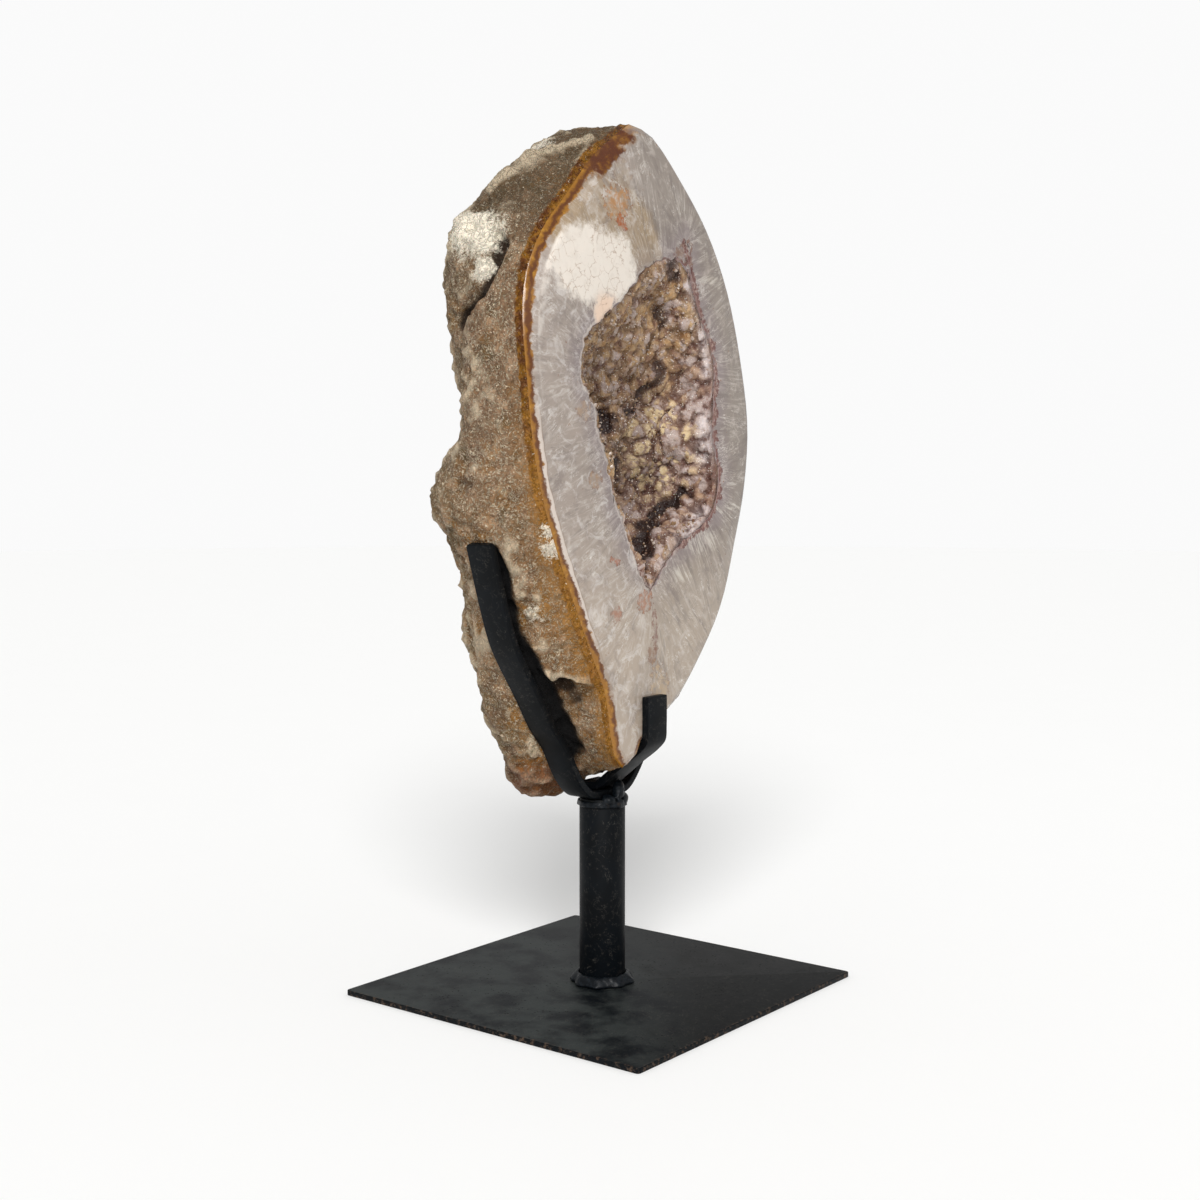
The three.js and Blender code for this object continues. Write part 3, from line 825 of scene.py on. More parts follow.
def polished_finish(settings):
    """Polished agate: fibres that run out from the hollow, stains, and an amber band along the left rim."""
    finish = Finish("polished_agate")
    x, _, z = finish.axes(finish.place)
    rim, mouth = finish.attribute("rim_across"), finish.attribute("mouth")
    ridge = finish.attribute("ridge")
    fibre = finish.attribute("fibre", "Vector")
    drifting = finish.wander(9, 7)
    left = x.step(6, -14)

    def streaks(width, run, detail=3, roughness=0.6, distortion=0.4):
        stretched = finish.vector_math("DIVIDE", fibre, (width, run, width))
        return finish.noise(1, detail, roughness, distortion, vector=stretched)

    broad = finish.noise(26, 3, 0.55)
    cloud = finish.noise(7, 4, 0.6, 0.6)
    base = finish.mix(settings.grey, settings.pale, (left * 0.5 + broad * 0.9 - 0.3).step(0, 1))
    low = z.step(205, 140)
    base = finish.mix(base, srgb(169, 153, 134), low * (0.3 + 0.5 * cloud))
    near_mouth = (mouth + (cloud - 0.5) * 9).step(14, 1)
    base = finish.mix(base, settings.mauve, near_mouth * 0.8 * z.step(150, 190))

    inner = finish.spot(drifting, (-22, -22, 286), (36, 60, 42), 0.06)
    base = finish.mix(base, settings.beige, inner * z.step(284, 306) * (0.4 + broad))
    growth_line = finish.spot(drifting, (-22, -22, 286), (37.5, 60, 43.5), 0.05) - inner
    base = finish.mix(base, srgb(104, 86, 69), growth_line * z.step(300, 312) * 0.8)

    fibres = streaks(1.3, 12)
    base = finish.mix(base, srgb(199, 191, 182), fibres.step(0.48, 0.76) * (0.16 + 0.55 * cloud))
    base = finish.mix(base, srgb(110, 100, 93), streaks(2.6, 18).step(0.5, 0.28) * (0.55 - left * 0.15))
    base = finish.mix(base, srgb(115, 104, 99), finish.noise(12, 4, 0.65, 0.8).step(0.5, 0.3) * 0.55)
    base = finish.mix(base, srgb(192, 182, 173), finish.noise(10, 4, 0.65, 1.0).step(0.52, 0.7) * 0.4)
    milk = finish.noise(9, 5, 0.7, 1.5).step(0.5, 0.66) * left
    base = finish.mix(base, srgb(204, 197, 192), milk * 0.5)
    wisps = abs(streaks(3.6, 16, 5, 0.7, 1.2) - 0.5).step(0.022, 0.0) * cloud.step(0.42, 0.62)
    base = finish.mix(base, srgb(206, 199, 191), wisps * 0.6)
    flecks = finish.cells(2.4, vector=finish.vector_math("DIVIDE", fibre, (1, 2.6, 1)))
    base = finish.mix(base, srgb(216, 210, 203), flecks.step(0.16, 0.05) * cloud.step(0.52, 0.66) * 0.8)

    grain = finish.noise(2.4, 4, 0.7)
    for centre, radii, shade, share in FACE_STAINS:
        blot = finish.ragged(drifting, grain, 2.0, (centre, radii))
        ring = blot.step(0.05, 0.4) * blot.step(0.95, 0.6)
        base = finish.mix(base, srgb(*shade), blot * grain.step(0.34, 0.62) * share)
        base = finish.mix(base, srgb(104, 62, 40), ring * grain.step(0.42, 0.56) * share * 0.7)

    for oval in FACE_CRYSTALS:
        streak = finish.ragged(drifting, grain, 1.6, oval) * fibres.step(0.38, 0.66)
        base = finish.mix(base, srgb(206, 199, 186), streak * 0.45)

    edge_noise = finish.noise(1.7, 4, 0.7)
    lip = (mouth + (edge_noise - 0.5) * 9 + (finish.noise(5, 2) - 0.5) * 9).step(2.0, 1.0)
    base = finish.mix(base, srgb(206, 194, 184), (mouth + edge_noise).step(1.9, 1.3) * left * 0.5)
    right_lip = x.step(14, 26)
    lip_shade = finish.mix(srgb(96, 58, 52), srgb(150, 124, 112), edge_noise.step(0.44, 0.62))
    base = finish.mix(base, lip_shade, lip * right_lip * 0.9)

    patch_grain = finish.noise(3.2, 5, 0.7)
    off_rim = rim.step(4.4, 5.6)
    patch = finish.ragged(drifting, patch_grain, 0.8, *FACE_CHALK) * off_rim
    by_ridge = (ridge + (cloud - 0.5) * 6).step(4.5, 1.5) * off_rim * z.step(226, 250) * z.step(306, 290)
    base = finish.mix(base, srgb(206, 197, 188), by_ridge * 0.6 * patch_grain.step(0.36, 0.56))
    cracks = finish.cells(4.5, "DISTANCE_TO_EDGE", finish.wander(4, 4)).step(0.04, 0.0)
    cracks = cracks * finish.noise(8, 2).step(0.42, 0.52)
    chalk = finish.mix(settings.chalk, srgb(196, 186, 174), cloud.step(0.5, 0.75) * 0.6)
    pinkish = finish.spot(drifting, (-26, -22, 274), (9, 60, 9), 0.4)
    chalk = finish.mix(chalk, srgb(218, 188, 164), pinkish * 0.8)
    chalk = finish.mix(chalk, srgb(150, 122, 98), cracks * 0.6)
    base = finish.mix(base, chalk, patch)
    tongue = finish.spot(drifting, (-25, -22, 268), (4, 60, 4), 0.5)
    base = finish.mix(base, srgb(150, 96, 50), tongue * 0.8)

    wave = finish.noise(8, 2, 0.5) * 2.2
    strip_side = left * z.step(246, 226)
    on_strip = (ridge + wave).step(2.3, 2.0) * strip_side * z.step(142, 156)
    base = finish.mix(base, srgb(132, 110, 92), (ridge + wave).step(3.0, 2.4) * strip_side * 0.4)
    base = finish.mix(base, settings.strip, on_strip * 0.85)
    band_noise = finish.noise(4, 5, 0.7) * 4.5
    band = (rim + band_noise - z.step(250, 275) * 1.1).step(4.5, 3.7) * left
    wide = finish.ragged(drifting, edge_noise, 0.7, *FACE_AMBER)
    core = abs(rim - 1.7 + (finish.noise(5, 4, 0.65) - 0.5) * 5).step(1.3, 0.2) * 0.85
    stain = finish.noise(4, 4, 0.6).step(0.34, 0.56)
    amber = finish.mix(settings.amber, srgb(166, 118, 34), finish.noise(2.6, 4, 0.65).step(0.5, 0.66) * 0.7)
    amber = finish.mix(amber, settings.dark_amber, core.most(wide * (0.45 + stain * 0.5)))
    base = finish.mix(base, amber, band.most(wide * (rim + band_noise).step(9.5, 8)))

    brown_rim = (rim + band_noise).step(1.8, 1.2) * x.step(20, 34) * finish.noise(22, 1).step(0.46, 0.54)
    base = finish.mix(base, srgb(96, 58, 26), brown_rim * 0.85)
    pits = finish.cells(0.9).step(0.2, 0.1) * finish.noise(5, 2).step(0.56, 0.68)
    base = finish.mix(base, srgb(96, 84, 74), pits * (patch + on_strip).least(1) * 0.7)
    uneven = cloud * 0.35 + pits * -0.5 + patch * finish.noise(2.2, 4, 0.6) * 0.9 - cracks * patch * 0.8
    return finish.surface(
        Base_Color=base, Roughness=0.2 + patch * 0.36 + pits * 0.3 + band * 0.08,
        Normal=finish.bump(uneven, 0.14, 0.5),
        Subsurface_Weight=0.12, Subsurface_Scale=0.004, Subsurface_Radius=(1.0, 0.8, 0.7),
        Coat_Weight=0.2, Coat_Roughness=0.06, IOR=1.54, Specular_IOR_Level=0.4,
    )


def rind_finish(settings):
    """Rough rind: brown grain with pale curls, ochre low down, amber by the rim and chalky patches."""
    finish = Finish("rind")
    x, y, z = finish.axes(finish.place)
    rim, relief = finish.attribute("rim"), finish.attribute("relief")
    drifting = finish.wander(7, 8)
    broad = finish.noise(34, 3, 0.55)
    middle = finish.noise(9, 4, 0.6, 0.4)
    curls = finish.noise(3.4, 3, 0.6, 1.8)
    fine = finish.noise(1.1, 3, 0.7, 0.8)
    low = (z + broad * 90 - 45).step(235, 130)
    base = finish.mix(settings.rind, settings.rind_ochre, low * 0.55)
    base = finish.mix(base, srgb(106, 92, 66), (y + broad * 30 - 15).step(2, 26) * 0.6)
    base = finish.mix(base, srgb(94, 76, 54), z.step(292, 318) * 0.75)
    base = finish.mix(base, srgb(166, 134, 104), middle.step(0.48, 0.62) * 0.8)
    base = finish.mix(base, srgb(96, 72, 52), finish.noise(14, 4, 0.65).step(0.5, 0.36) * 0.75)
    base = finish.mix(base, srgb(72, 60, 34), finish.noise(12, 3, 0.6).step(0.54, 0.68) * 0.6)
    ochre = finish.noise(15, 3, 0.6, vector=drifting).step(0.53, 0.66) * (0.35 + 0.6 * low)
    base = finish.mix(base, settings.rind_ochre, ochre)
    base = finish.mix(base, settings.rind_dark, fine.step(0.46, 0.32) * 0.5)
    base = finish.mix(base, settings.rind_dark, curls.step(0.42, 0.28) * 0.6)
    webs = abs(curls - 0.5).step(0.04, 0.012) * fine.step(0.38, 0.5)
    base = finish.mix(base, settings.rind_pale, webs * 0.9)
    grit = finish.cells(1.5).step(0.24, 0.12) * middle.step(0.4, 0.58)
    base = finish.mix(base, srgb(228, 212, 186), grit * 0.7)
    base = finish.mix(base, srgb(80, 62, 40), z.step(296, 322) * (0.3 + 0.5 * middle))
    # Painted shade where the rind's relief sinks in; paler where it rises
    base = finish.mix(base, settings.rind_dark, relief.step(-0.8, -3.0) * 0.95)
    base = finish.mix(base, settings.rind_pale, relief.step(0.8, 2.2) * (0.35 + 0.6 * fine))
    red = finish.spot(drifting, (-22, 14, 84), (18, 20, 14), 0.5) * 0.8
    base = finish.mix(base, srgb(116, 62, 30), red * (0.4 + middle) * fine.step(0.3, 0.5))
    edge = finish.noise(2.6, 3, 0.6)
    amber_edge = (rim + (edge - 0.5) * 2.8).step(3.6, 2.6) * x.step(8, -10)
    amber = finish.mix(settings.amber, settings.dark_amber, finish.noise(4, 3, 0.6).step(0.4, 0.6) * 0.8)
    base = finish.mix(base, amber, amber_edge)
    glow = (rim + (middle - 0.5) * 14).step(12, 2) * x.step(8, -10) * z.step(260, 200)
    base = finish.mix(base, srgb(162, 112, 44), glow * 0.55)
    crust = (middle + fine) * 0.5
    spots = [(centre, (radius, radius, radius)) for centre, radius in CHALK_SPOTS]
    small = finish.ragged(drifting, fine, 3.0, *spots)
    chalk = finish.ragged(drifting, crust, 2.2, *RIND_CHALK).most(small * 0.8)
    chalk_shade = finish.mix(srgb(238, 228, 208), srgb(184, 164, 134), fine.step(0.54, 0.7) * 0.4)
    base = finish.mix(base, chalk_shade, chalk)
    # Painted shadow: near black where the rind is sunk along the front of the strap's arm
    base = finish.mix(base, srgb(4, 3, 3), finish.attribute("gap_shadow"))
    height = middle * 1.2 + curls * 1.0 + fine * 0.7 + webs * 0.5
    return finish.surface(
        Base_Color=base, Roughness=0.8 - webs * 0.25 - amber_edge * 0.4, Normal=finish.bump(height, 1.3, 1.0),
        Subsurface_Weight=0.03, Subsurface_Scale=0.002, Specular_IOR_Level=0.25,
    )


def wall_finish(settings):
    """Wall of the hollow behind its crystals."""
    finish = Finish("hollow_wall")
    cloud = finish.noise(5, 4, 0.6)
    base = finish.mix(srgb(120, 90, 82), settings.mauve, cloud.step(0.35, 0.7))
    return finish.surface(Base_Color=base, Roughness=0.4 + cloud * 0.2, Normal=finish.bump(cloud, 0.4))


class AGATE_OT_stone(bpy.types.Operator):
    """Make the stone: rough rind, ground bevel, polished face and the wall of the hollow"""

    bl_idname = "agate.stone"
    bl_label = "Stone"

    def execute(self, context):
        settings = context.scene.agate_stone
        bm, values = stone_mesh(settings)
        materials = [rind_finish(settings), polished_finish(settings), wall_finish(settings)]
        piece = to_piece(bm, "agate_stone", ["agate"], materials, STONE_SHARP)
        for name, numbers in values.items():
            store(piece.data, name, numbers)
        return {"FINISHED"}


# Crystals


def to_heart(place):
    """Direction from a place in the hollow to its open middle."""
    height = min(max(place.z, HEART_HEIGHTS[0]), HEART_HEIGHTS[1])
    return (Vector((HEART[0], HEART[1], height)) - place).normalized()


def rounded(place, size):
    """How near a place is to the crown of its round lump, 0 to 1, and the lump's own place."""
    distances, points = noise.voronoi(place / size)
    return max(0.0, 1 - (distances[0] / LUMP_REACH) ** 2), points[0]


def druse_mesh(settings):
    """The lining as a fine mesh of round clusters, with the numbers that its finish reads."""
    noise.seed_set(NOISE_SEED)
    bm = node_mesh("crystal_crust")
    for face in bm.faces:
        towards_heart = face.normal.dot(to_heart(face.calc_center_median() / MM))
        face.material_index = SHOWN if towards_heart > 0.1 else HIDDEN

    def in_sight(edge):
        return any(face.material_index == SHOWN for face in edge.link_faces)

    refine(bm, settings.facet, settings.cuts, in_sight)
    for face in bm.faces:
        face.tag = face.material_index == SHOWN
        face.material_index = 0
    open_verts = [vert for vert in bm.verts if all(face.tag for face in vert.link_faces)]
    smoothed(bm, open_verts, DRUSE_SMOOTHING)
    bm.normal_update()
    bm.verts.index_update()
    places = vertex_places(bm)
    cleft, pale, lift = np.zeros(len(places)), np.zeros(len(places)), np.zeros(len(places))
    bent = np.array([warped(Vector(place), 5.5, 3.4)[:] for place in places])
    for points, radius, rise in DRUSE_CLEFTS:
        near = np.exp(-(near_line(bent, points) / radius) ** 2)
        cleft = np.maximum(cleft, near)
        lift += rise * near
    for points, radius, rise in DRUSE_PALE:
        pale = np.maximum(pale, np.exp(-(near_line(places, points) / radius) ** 2))
    for centre, radius, rise in DRUSE_BULGES:
        lift += rise * np.exp(-(np.linalg.norm(places - np.array(centre), axis=1) / radius) ** 2)
    crown, tint = np.zeros(len(places)), np.zeros(len(places))
    moves = []
    for vert, place, raised in zip(bm.verts, places, lift):
        moved = warped(Vector(place), 5, 1.2)
        ball, cell = rounded(moved, settings.ball / MM)
        bud, bud_cell = rounded(moved, settings.bud / MM)
        facet, _ = rounded(Vector(place), settings.grain / MM)
        size = 0.55 + 0.9 * abs(noise.noise(cell * 3.7))
        lumps = settings.ball_height * size * math.sqrt(ball) + settings.bud_height * math.sqrt(bud)
        height = (lumps + settings.swell * noise.noise(moved / 11)) / MM
        crown[vert.index] = 0.7 * ball + 0.3 * bud
        tint[vert.index] = 0.5 + 0.9 * noise.noise(cell * 5.3) + 0.4 * noise.noise(bud_cell * 4.1)
        rise = HIDDEN_RISE
        if all(face.tag for face in vert.link_faces):
            rise = raised + height + GRAIN_HEIGHT * math.sqrt(facet) + SHOWN_RISE
        moves.append(vert.normal * MM * rise)
    for vert, move in zip(bm.verts, moves):
        vert.co += move
    keep_behind_face(bm, 0.3, EDGE_RECESS)
    depth = places[:, 1] - face_y(places[:, 2])
    return bm, {"crown": crown, "tint": tint, "cleft": cleft, "pale": pale, "depth": depth}


def keep_behind_face(bm, depth, left):
    """Holds every point at least a little behind the polished face, and by left more on the left side."""
    for vert in bm.verts:
        x, _, z = vert.co / MM
        behind = depth + left * float(smoothstep(2, -12, x))
        vert.co.y = max(vert.co.y, (face_y(z) + behind) * MM)


def crystal_points(settings, lining):
    """Single six-sided crystal points, grown on the lining and larger towards the mouth."""
    source = random.Random(POINT_SEED)
    bm = bmesh.new()
    faces = [face for face in lining.faces if face.tag]
    for _ in range(settings.points):
        face = source.choice(faces)
        place = face.calc_center_median() / MM
        near_mouth = smoothstep(14, 2, place.y - face_y(place.z))
        if place.x > POINT_LIMIT and near_mouth > 0.5:
            continue
        width = settings.point_size * (0.55 + 0.75 * source.random()) * (0.7 + 0.6 * near_mouth)
        tilt = Vector([source.uniform(-0.55, 0.55) for _ in range(3)])
        along = (face.normal + tilt).normalized()
        turn = along.to_track_quat("Z", "Y").to_matrix().to_4x4()
        spin = Matrix.Rotation(source.uniform(0, math.tau), 4, "Z")
        stem = bmesh.ops.create_cone(
            bm, cap_ends=True, segments=POINT_SIDES, radius1=0.42 * width, radius2=0.5 * width, depth=width,
            matrix=Matrix.Translation(face.calc_center_median()) @ turn @ spin,
        )
        grown = {face for vert in stem["verts"] for face in vert.link_faces}
        ends = [face for face in grown if len(face.verts) == POINT_SIDES]
        for tip in [face for face in ends if face.normal.dot(along) > 0.5]:
            point = bmesh.ops.poke(bm, faces=[tip])["verts"][0]
            point.co += along * 0.5 * width
    return bm


def druse_finish(settings):
    """Quartz clusters: tan and ochre crowns, mauve low down, lilac on the right, with cream and pale grey
    painted highlight where each cluster rises to its crown, painted glints, and red-brown painted shade
    between the clusters, in their clefts and deeper in the hollow.
    """
    finish = Finish("druse_crystal")
    x, _, z = finish.axes(finish.place)
    crown, tint = finish.attribute("crown"), finish.attribute("tint")
    cleft, pale, depth = finish.attribute("cleft"), finish.attribute("pale"), finish.attribute("depth")
    drifting = finish.wander(8, 9)
    broad = finish.noise(15, 3, 0.6)
    patchy = finish.noise(5, 3, 0.6)
    fine = finish.noise(1.0, 4, 0.7)
    sugary = crown + (fine - 0.5) * 0.5
    tan_share = (z * 0.010 - x * 0.022 - 1.8 + broad * 1.4).step(0.3, 1.0)
    base = finish.mix(settings.mauve, settings.tan, tan_share)
    base = finish.mix(base, srgb(102, 58, 44), patchy.step(0.52, 0.36) * 0.75)
    yellow = tint.step(0.62, 0.85) * patchy.step(0.4, 0.6)
    base = finish.mix(base, settings.ochre, yellow * (0.2 + 0.5 * tan_share))
    bulge = finish.spot(drifting, (30, -2, 225), (17, 20, 22), 0.4)
    # Painted highlight: cream or pale grey, by each cluster's tint, where the cluster rises to its crown
    crowns = sugary.step(0.2, 0.7)
    base = finish.mix(base, settings.cream, crowns * tint.step(0.4, 0.6) * (0.12 + 0.75 * bulge))
    base = finish.mix(base, srgb(178, 162, 156), crowns * tint.step(0.52, 0.28) * 0.8)
    base = finish.mix(base, settings.lilac, pale * (patchy * 0.6 + fine * 0.6).step(0.42, 0.62) * 0.95)
    wine = x.step(38, 47) * depth.step(6, 2) * fine.step(0.48, 0.58) * (1 - pale)
    base = finish.mix(base, srgb(104, 54, 46), wine * 0.75)
    # Painted shade: red-brown between the clusters where they fall away from their crowns, more so low down
    # and on the right
    shade = sugary.step(0.78, 0.0)
    base = finish.mix(base, settings.crevice_shade, shade * (0.4 + 0.4 * patchy + 0.2 * (1 - tan_share)))
    # Painted shade, stronger the deeper a place lies in the hollow
    base = finish.mix(base, srgb(56, 30, 20), depth.step(14, 28) * 0.5)
    # Painted shade round the clefts, and near-black painted shadow in them, weaker high up
    cleft_shade = (cleft + (patchy - 0.5) * 0.8).step(0.05, 0.5) * cleft.step(0.0, 0.12)
    base = finish.mix(base, srgb(64, 32, 20), cleft_shade * 0.75)
    cleft_shadow = (cleft + (patchy - 0.5) * 2.2 - sugary * 0.3).step(0.05, 0.7) * cleft.step(0.05, 0.4)
    cleft_shadow = cleft_shadow.most(cleft.step(0.5, 0.85)) * (1 - z.step(238, 248) * 0.4)
    base = finish.mix(base, srgb(32, 13, 7), cleft_shadow * 0.95)
    base = finish.mix(base, srgb(232, 220, 202), fine.step(0.56, 0.74) * 0.4 * (1 - cleft_shadow))
    glints = finish.cells(0.9).step(0.22, 0.1) * finish.noise(2.1, 2).step(0.48, 0.56)
    base = finish.mix(base, srgb(252, 247, 238), glints * (1 - cleft_shadow * 0.7))
    facets = finish.cells(0.75, output=1)
    facet_tone = finish.add("ShaderNodeRGBToBW", None, {0: facets})
    return finish.surface(
        Base_Color=base, Roughness=0.55 - facet_tone.step(0.6, 0.85) * 0.36,
        Normal=finish.bump(facet_tone * 0.8 - finish.cells(0.75), 0.4, 0.7),
        Subsurface_Weight=0.2, Subsurface_Scale=0.002, Subsurface_Radius=(1.0, 0.7, 0.5), IOR=1.54,
        Specular_IOR_Level=0.4,
    )


def point_finish(settings):
    """Single crystals: half clear, tan to pale, with some brown ones and redder ones at the far right."""
    finish = Finish("crystal_point")
    x, y, z = finish.axes(finish.place)
    share = finish.noise(2.2, 2)
    base = finish.mix(srgb(150, 120, 88), srgb(196, 180, 168), share.step(0.42, 0.62))
    base = finish.mix(base, srgb(104, 60, 34), finish.noise(6, 2).step(0.5, 0.62) * 0.7)
    depth = y - z * 0.021 + 27.3
    base = finish.mix(base, srgb(104, 60, 54), x.step(33, 42) * depth.step(4, 1.5) * 0.9)
    return finish.surface(Base_Color=base, Roughness=0.1 + share * 0.2, IOR=1.54, Transmission_Weight=0.2)


class AGATE_OT_druse(bpy.types.Operator):
    """Make the crystal lining of the hollow and its single crystal points"""

    bl_idname = "agate.druse"
    bl_label = "Crystals"

    def execute(self, context):
        settings = context.scene.agate_druse
        bm, values = druse_mesh(settings)
        points = crystal_points(settings, bm)
        keep_behind_face(points, -0.4, EDGE_RECESS)
        piece = to_piece(bm, "druse_lining", ["crystal_crust"], [druse_finish(settings)])
        for name, numbers in values.items():
            store(piece.data, name, numbers)
        to_piece(points, "crystal_points", [], [point_finish(settings)], POINT_SHARP)
        return {"FINISHED"}


# Stand


def steel_finish(settings):
    """Blackened steel: uneven grey-black with faint scratches, worn edges, and a pale film on top of the
    plate that is partly dusty and partly painted sheen.
    """
    finish = Finish("blackened_steel")
    x, y, z = finish.axes(finish.place)
    normal = finish.add("ShaderNodeNewGeometry", output="Normal")
    _, _, up = finish.axes(normal)
    blotch = finish.noise(17, 4, 0.6)
    fine = finish.noise(2.2, 4, 0.7)
    grain = finish.noise(0.5, 2, 0.6)
    base = finish.mix(settings.steel, srgb(5, 6, 7), blotch.step(0.35, 0.65) * 0.7)
    plate = z.step(6, 3)
    # Upward faces of the plate get a pale film, partly dusty and partly painted sheen; towards the front
    # right it gives way to near black
    bloom_and_sheen = up.step(0.8, 0.95) * plate
    base = finish.mix(base, settings.dust_and_sheen, bloom_and_sheen * blotch.step(0.34, 0.62) * 0.8)
    front = (x * 0.62 - y * 0.78 + (blotch - 0.5) * 60).step(0, 45)
    base = finish.mix(base, srgb(9, 9, 9), bloom_and_sheen * front * 0.9)
    specks = finish.cells(2.2).step(0.2, 0.1) * finish.noise(20, 2).step(0.47, 0.56)
    base = finish.mix(base, srgb(8, 8, 8), specks * bloom_and_sheen * 0.9)
    scuffs = abs(finish.noise(11, 5, 0.7, 1.5) - 0.5).step(0.012, 0.0) * fine.step(0.42, 0.6)
    base = finish.mix(base, srgb(96, 92, 86), scuffs * 0.35)
    edge = abs(x).most(abs(y)).step(73.4, 74.6) * plate
    base = finish.mix(base, settings.wear, edge * fine.step(0.5, 0.64) * 0.4)
    return finish.surface(
        Base_Color=base, Roughness=0.36 + blotch * 0.2 + fine * 0.08 + specks * bloom_and_sheen * 0.2,
        Normal=finish.bump(fine * 0.7 + grain * 0.3, 0.07, 0.7), Specular_IOR_Level=0.1,
    )


def weld_finish(settings):
    """Weld bead: blackened, with a bluish grey where it is smooth."""
    finish = Finish("weld_metal")
    fine = finish.noise(1.6, 4, 0.6)
    base = finish.mix(settings.steel, srgb(20, 25, 30), fine.step(0.45, 0.7))
    base = finish.mix(base, srgb(48, 40, 35), finish.noise(3, 3).step(0.6, 0.72) * 0.5)
    return finish.surface(
        Base_Color=base, Roughness=0.28 + fine * 0.2, Specular_IOR_Level=0.16,
        Normal=finish.bump(fine, 0.2, 0.6),
    )


def bevel_edges(bm, edges, offset, segments):
    bmesh.ops.bevel(
        bm, geom=edges, offset=offset, segments=segments, profile=0.5, affect="EDGES", material=-1,
        clamp_overlap=True,
    )


def sharp_edges(bm):
    least = math.radians(ROUNDED_ANGLE)
    return [edge for edge in bm.edges if edge.is_manifold and edge.calc_face_angle(0) > least]


def swept_bar(line, side, settings):
    """Flat bar bent along a line: the line is its outer face, and the bar's width lies along side."""
    side = Vector(side)
    stations = []
    for k, point in enumerate(line):
        along = (line[min(k + 1, len(line) - 1)] - line[max(k - 1, 0)]).normalized()
        stations.append((point, along.cross(side).normalized()))
    bm = bmesh.new()
    corners = [(-0.5, 0), (0.5, 0), (0.5, 1), (-0.5, 1)]

    def corner(station, across, deep):
        point, inward = station
        return point * MM + side * across * settings.bar_width + inward * deep * settings.bar_thick

    start = [bm.verts.new(corner(stations[0], *share)) for share in corners]
    face = bm.faces.new(start)
    for station in stations[1:]:
        grown = bmesh.ops.extrude_face_region(bm, geom=[face])["geom"]
        if station is not stations[1]:
            bmesh.ops.delete(bm, geom=[face], context="FACES")
        fresh = [part for part in grown if isinstance(part, bmesh.types.BMFace)][0]
        for vert, share in zip(fresh.verts, corners):
            vert.co = corner(station, *share)
        face = fresh
    bmesh.ops.recalc_face_normals(bm, faces=bm.faces)
    first, last = line[0] * MM, line[-1] * MM
    tips = [
        edge for edge in bm.edges
        if abs((edge.verts[0].co - edge.verts[1].co).normalized().dot(side)) < 0.5
        and abs(edge.calc_length() - settings.bar_thick) < 0.05 * MM
        and min((edge.verts[0].co - end).length for end in (first, last)) < settings.bar_width
        and edge.calc_face_angle(0) > math.radians(60)
    ]
    bevel_edges(bm, tips, settings.bar_tip, 5)
    bevel_edges(bm, sharp_edges(bm), settings.bar_edge, 3)
    return bm


class AGATE_OT_plate(bpy.types.Operator):
    """Make the base plate"""

    bl_idname = "agate.plate"
    bl_label = "Base plate"

    def execute(self, context):
        settings = context.scene.agate_stand
        low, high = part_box("base_plate")
        size = high - low
        bm = bmesh.new()
        bmesh.ops.create_cube(bm, size=1)
        bmesh.ops.scale(bm, vec=size, verts=bm.verts)
        bmesh.ops.translate(bm, vec=(low + high) / 2, verts=bm.verts)
        upright = [edge for edge in bm.edges if abs(edge.verts[0].co.z - edge.verts[1].co.z) > size.z / 2]
        bevel_edges(bm, upright, settings.plate_corner, 6)
        bevel_edges(bm, sharp_edges(bm), settings.plate_edge, 3)
        to_piece(bm, "plate", ["base_plate"], [steel_material(settings)], STEEL_SHARP)
        return {"FINISHED"}


class AGATE_OT_post(bpy.types.Operator):
    """Make the post"""

    bl_idname = "agate.post"
    bl_label = "Post"

    def execute(self, context):
        settings = context.scene.agate_stand
        low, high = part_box("post")
        radius = (high.x - low.x) / 2
        bm = bmesh.new()
        bmesh.ops.create_cone(
            bm, cap_ends=True, segments=128, radius1=radius, radius2=radius, depth=high.z - low.z,
            matrix=Matrix.Translation((0, 0, (high.z + low.z) / 2)),
        )
        bevel_edges(bm, sharp_edges(bm), settings.plate_edge, 2)
        to_piece(bm, "post_rod", ["post"], [steel_material(settings)], STEEL_SHARP)
        return {"FINISHED"}


class AGATE_OT_bars(bpy.types.Operator):
    """Make the strap and the front prong from bent flat bar"""

    bl_idname = "agate.bars"
    bl_label = "Bent bars"

    def execute(self, context):
        settings = context.scene.agate_stand
        arm = [Vector((x, STRAP_Y, z)) for x, z in curve_through(STRAP_ARM, BEND_STEPS)]
        other = [Vector((-point.x, point.y, point.z)) for point in reversed(arm[1:])]
        strap = swept_bar(other + arm, (0, 1, 0), settings)
        prong_line = [Vector((0, y, z)) for y, z in curve_through(PRONG_LINE, BEND_STEPS)]
        prong = swept_bar(prong_line, (-1, 0, 0), settings)
        to_piece(strap, "strap_bar", ["strap"], [steel_material(settings)], STEEL_SHARP)
        to_piece(prong, "prong_bar", ["front_prong"], [steel_material(settings)], STEEL_SHARP)
        return {"FINISHED"}


def rippled_weld(name, settings):
    """Copy of a weld's CAD node, made fine and rippled."""
    bm = node_mesh(name)
    refine(bm, settings.weld_facet, settings.weld_cuts)
    smoothed(bm, bm.verts, WELD_SMOOTHING[name])
    bm.normal_update()
    for vert in bm.verts:
        place = vert.co / MM
        ripple = noise.noise(place / 2.4) + 0.5 * noise.noise(place / 1.1)
        vert.co += vert.normal * settings.weld_lump * (ripple + 0.5)
    return bm


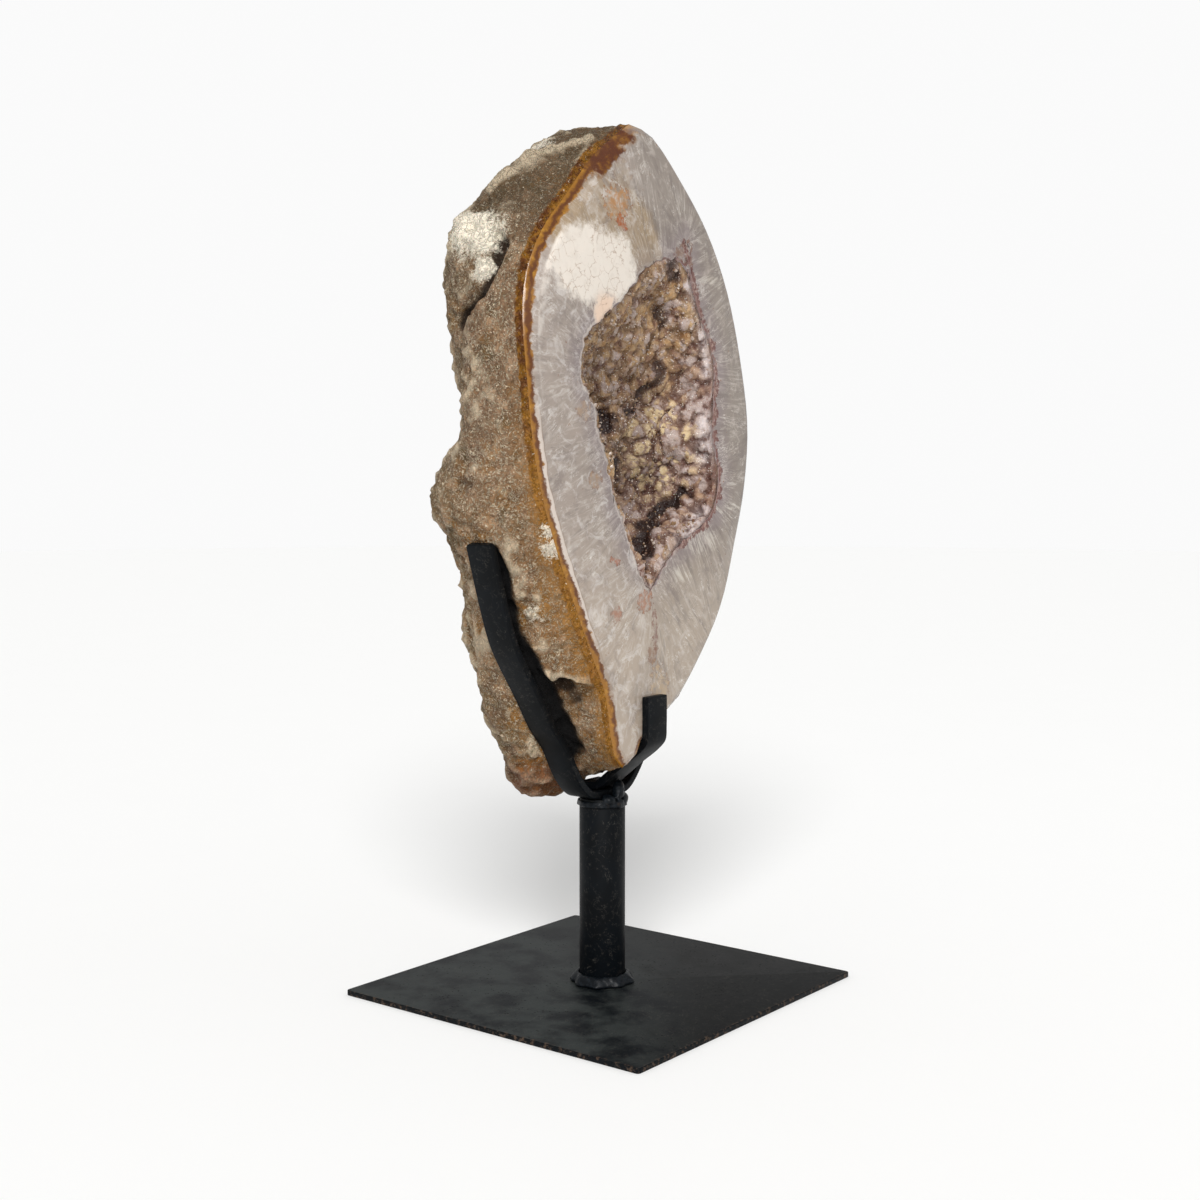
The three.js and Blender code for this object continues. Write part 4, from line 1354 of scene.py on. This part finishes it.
class AGATE_OT_welds(bpy.types.Operator):
    """Make the weld at the foot of the post and the one under the stone"""

    bl_idname = "agate.welds"
    bl_label = "Welds"

    def execute(self, context):
        settings = context.scene.agate_stand
        material = weld_finish(settings)
        for name in ("foot_weld", "top_weld"):
            to_piece(rippled_weld(name, settings), name + "_bead", [name], [material])
        return {"FINISHED"}


def steel_material(settings):
    """The steel, made once and shared."""
    return bpy.data.materials.get("blackened_steel") or steel_finish(settings)


# Stage


def add_light(name, kind, place, power):
    """Light that points at the middle of the stage."""
    light = bpy.data.lights.new(name, kind)
    light.energy = power
    lamp = bpy.data.objects.new(name, light)
    lamp.location = place
    lamp.rotation_euler = (Vector(STAGE_MIDDLE) - Vector(place)).to_track_quat("-Z", "Y").to_euler()
    bpy.context.scene.collection.objects.link(lamp)
    return light


def plain_world(settings):
    """Even white light from all round, with a plain white background behind the object."""
    world = bpy.data.worlds.new("studio")
    world.use_nodes = True
    tree = world.node_tree
    backdrop = tree.nodes["Background"]
    backdrop.inputs["Color"].default_value = (1, 1, 1, 1)
    seen = tree.nodes.new("ShaderNodeLightPath")
    strength = tree.nodes.new("ShaderNodeMapRange")
    strength.inputs["To Min"].default_value = settings.sky
    strength.inputs["To Max"].default_value = settings.backdrop
    tree.links.new(seen.outputs["Is Camera Ray"], strength.inputs["Value"])
    tree.links.new(strength.outputs["Result"], backdrop.inputs["Strength"])
    return world


class AGATE_OT_stage(bpy.types.Operator):
    """Make the floor, the soft light and the photograph's camera"""

    bl_idname = "agate.stage"
    bl_label = "Stage"

    def execute(self, context):
        settings = context.scene.agate_stage
        bm = bmesh.new()
        bmesh.ops.create_circle(bm, cap_ends=True, segments=96, radius=FLOOR_RADIUS)
        mesh = bpy.data.meshes.new("floor")
        bm.to_mesh(mesh)
        bm.free()
        finish = Finish("pale_floor")
        mottle = finish.noise(60, 2)
        shade = finish.mix(settings.floor, srgb(250, 250, 249), mottle * 0.3)
        mesh.materials.append(finish.surface(Base_Color=shade, Roughness=0.7))
        floor = bpy.data.objects.new("floor", mesh)
        context.scene.collection.objects.link(floor)

        context.scene.world = plain_world(settings)
        key = add_light("key", "SUN", KEY_PLACE, settings.key)
        key.angle = math.radians(KEY_ANGLE)
        fill = add_light("fill", "AREA", FILL_PLACE, settings.fill)
        fill.shape = "DISK"
        fill.size = FILL_SIZE

        camera = bpy.data.objects.new("camera", bpy.data.cameras.new("camera"))
        camera.data.lens = CAMERA_LENS
        camera.data.sensor_width = CAMERA_SENSOR
        turn, rise = math.radians(CAMERA_TURN), math.radians(CAMERA_RISE)
        back = Vector((math.sin(turn) * math.cos(rise), -math.cos(turn) * math.cos(rise), math.sin(rise)))
        right = Vector((math.cos(turn), math.sin(turn), 0))
        axes = Matrix((right, back.cross(right), back)).transposed()
        camera.matrix_world = Matrix.Translation(CAMERA_PLACE) @ axes.to_4x4()
        context.scene.collection.objects.link(camera)
        context.scene.camera = camera
        context.scene.view_settings.view_transform = "Standard"
        return {"FINISHED"}


class AGATE_PT_panel(bpy.types.Panel):
    """Lists the pieces of the agate and its stand"""

    bl_idname = "AGATE_PT_panel"
    bl_label = "Agate"
    bl_space_type = "VIEW_3D"
    bl_region_type = "UI"
    bl_category = "Agate"

    def draw(self, context):
        for operator in OPERATORS:
            self.layout.operator(operator.bl_idname)
        for name in SETTINGS:
            box = self.layout.box()
            group = getattr(context.scene, name)
            for prop in group.bl_rna.properties:
                if prop.identifier not in {"rna_type", "name"}:
                    box.prop(group, prop.identifier)


SETTINGS = {
    "agate_stone": StoneSettings,
    "agate_druse": DruseSettings,
    "agate_stand": StandSettings,
    "agate_stage": StageSettings,
}
OPERATORS = (
    AGATE_OT_stage, AGATE_OT_stone, AGATE_OT_druse, AGATE_OT_plate, AGATE_OT_post, AGATE_OT_bars,
    AGATE_OT_welds,
)


def register():
    for cls in (*SETTINGS.values(), *OPERATORS, AGATE_PT_panel):
        bpy.utils.register_class(cls)
    for name, group in SETTINGS.items():
        setattr(bpy.types.Scene, name, PointerProperty(type=group))


def unregister():
    for name in SETTINGS:
        delattr(bpy.types.Scene, name)
    for cls in reversed((*SETTINGS.values(), *OPERATORS, AGATE_PT_panel)):
        bpy.utils.unregister_class(cls)


def main():
    register()
    bpy.ops.agate.stage()
    bpy.ops.agate.stone()
    bpy.ops.agate.druse()
    bpy.ops.agate.plate()
    bpy.ops.agate.post()
    bpy.ops.agate.bars()
    bpy.ops.agate.welds()


if __name__ == "__main__":
    main()
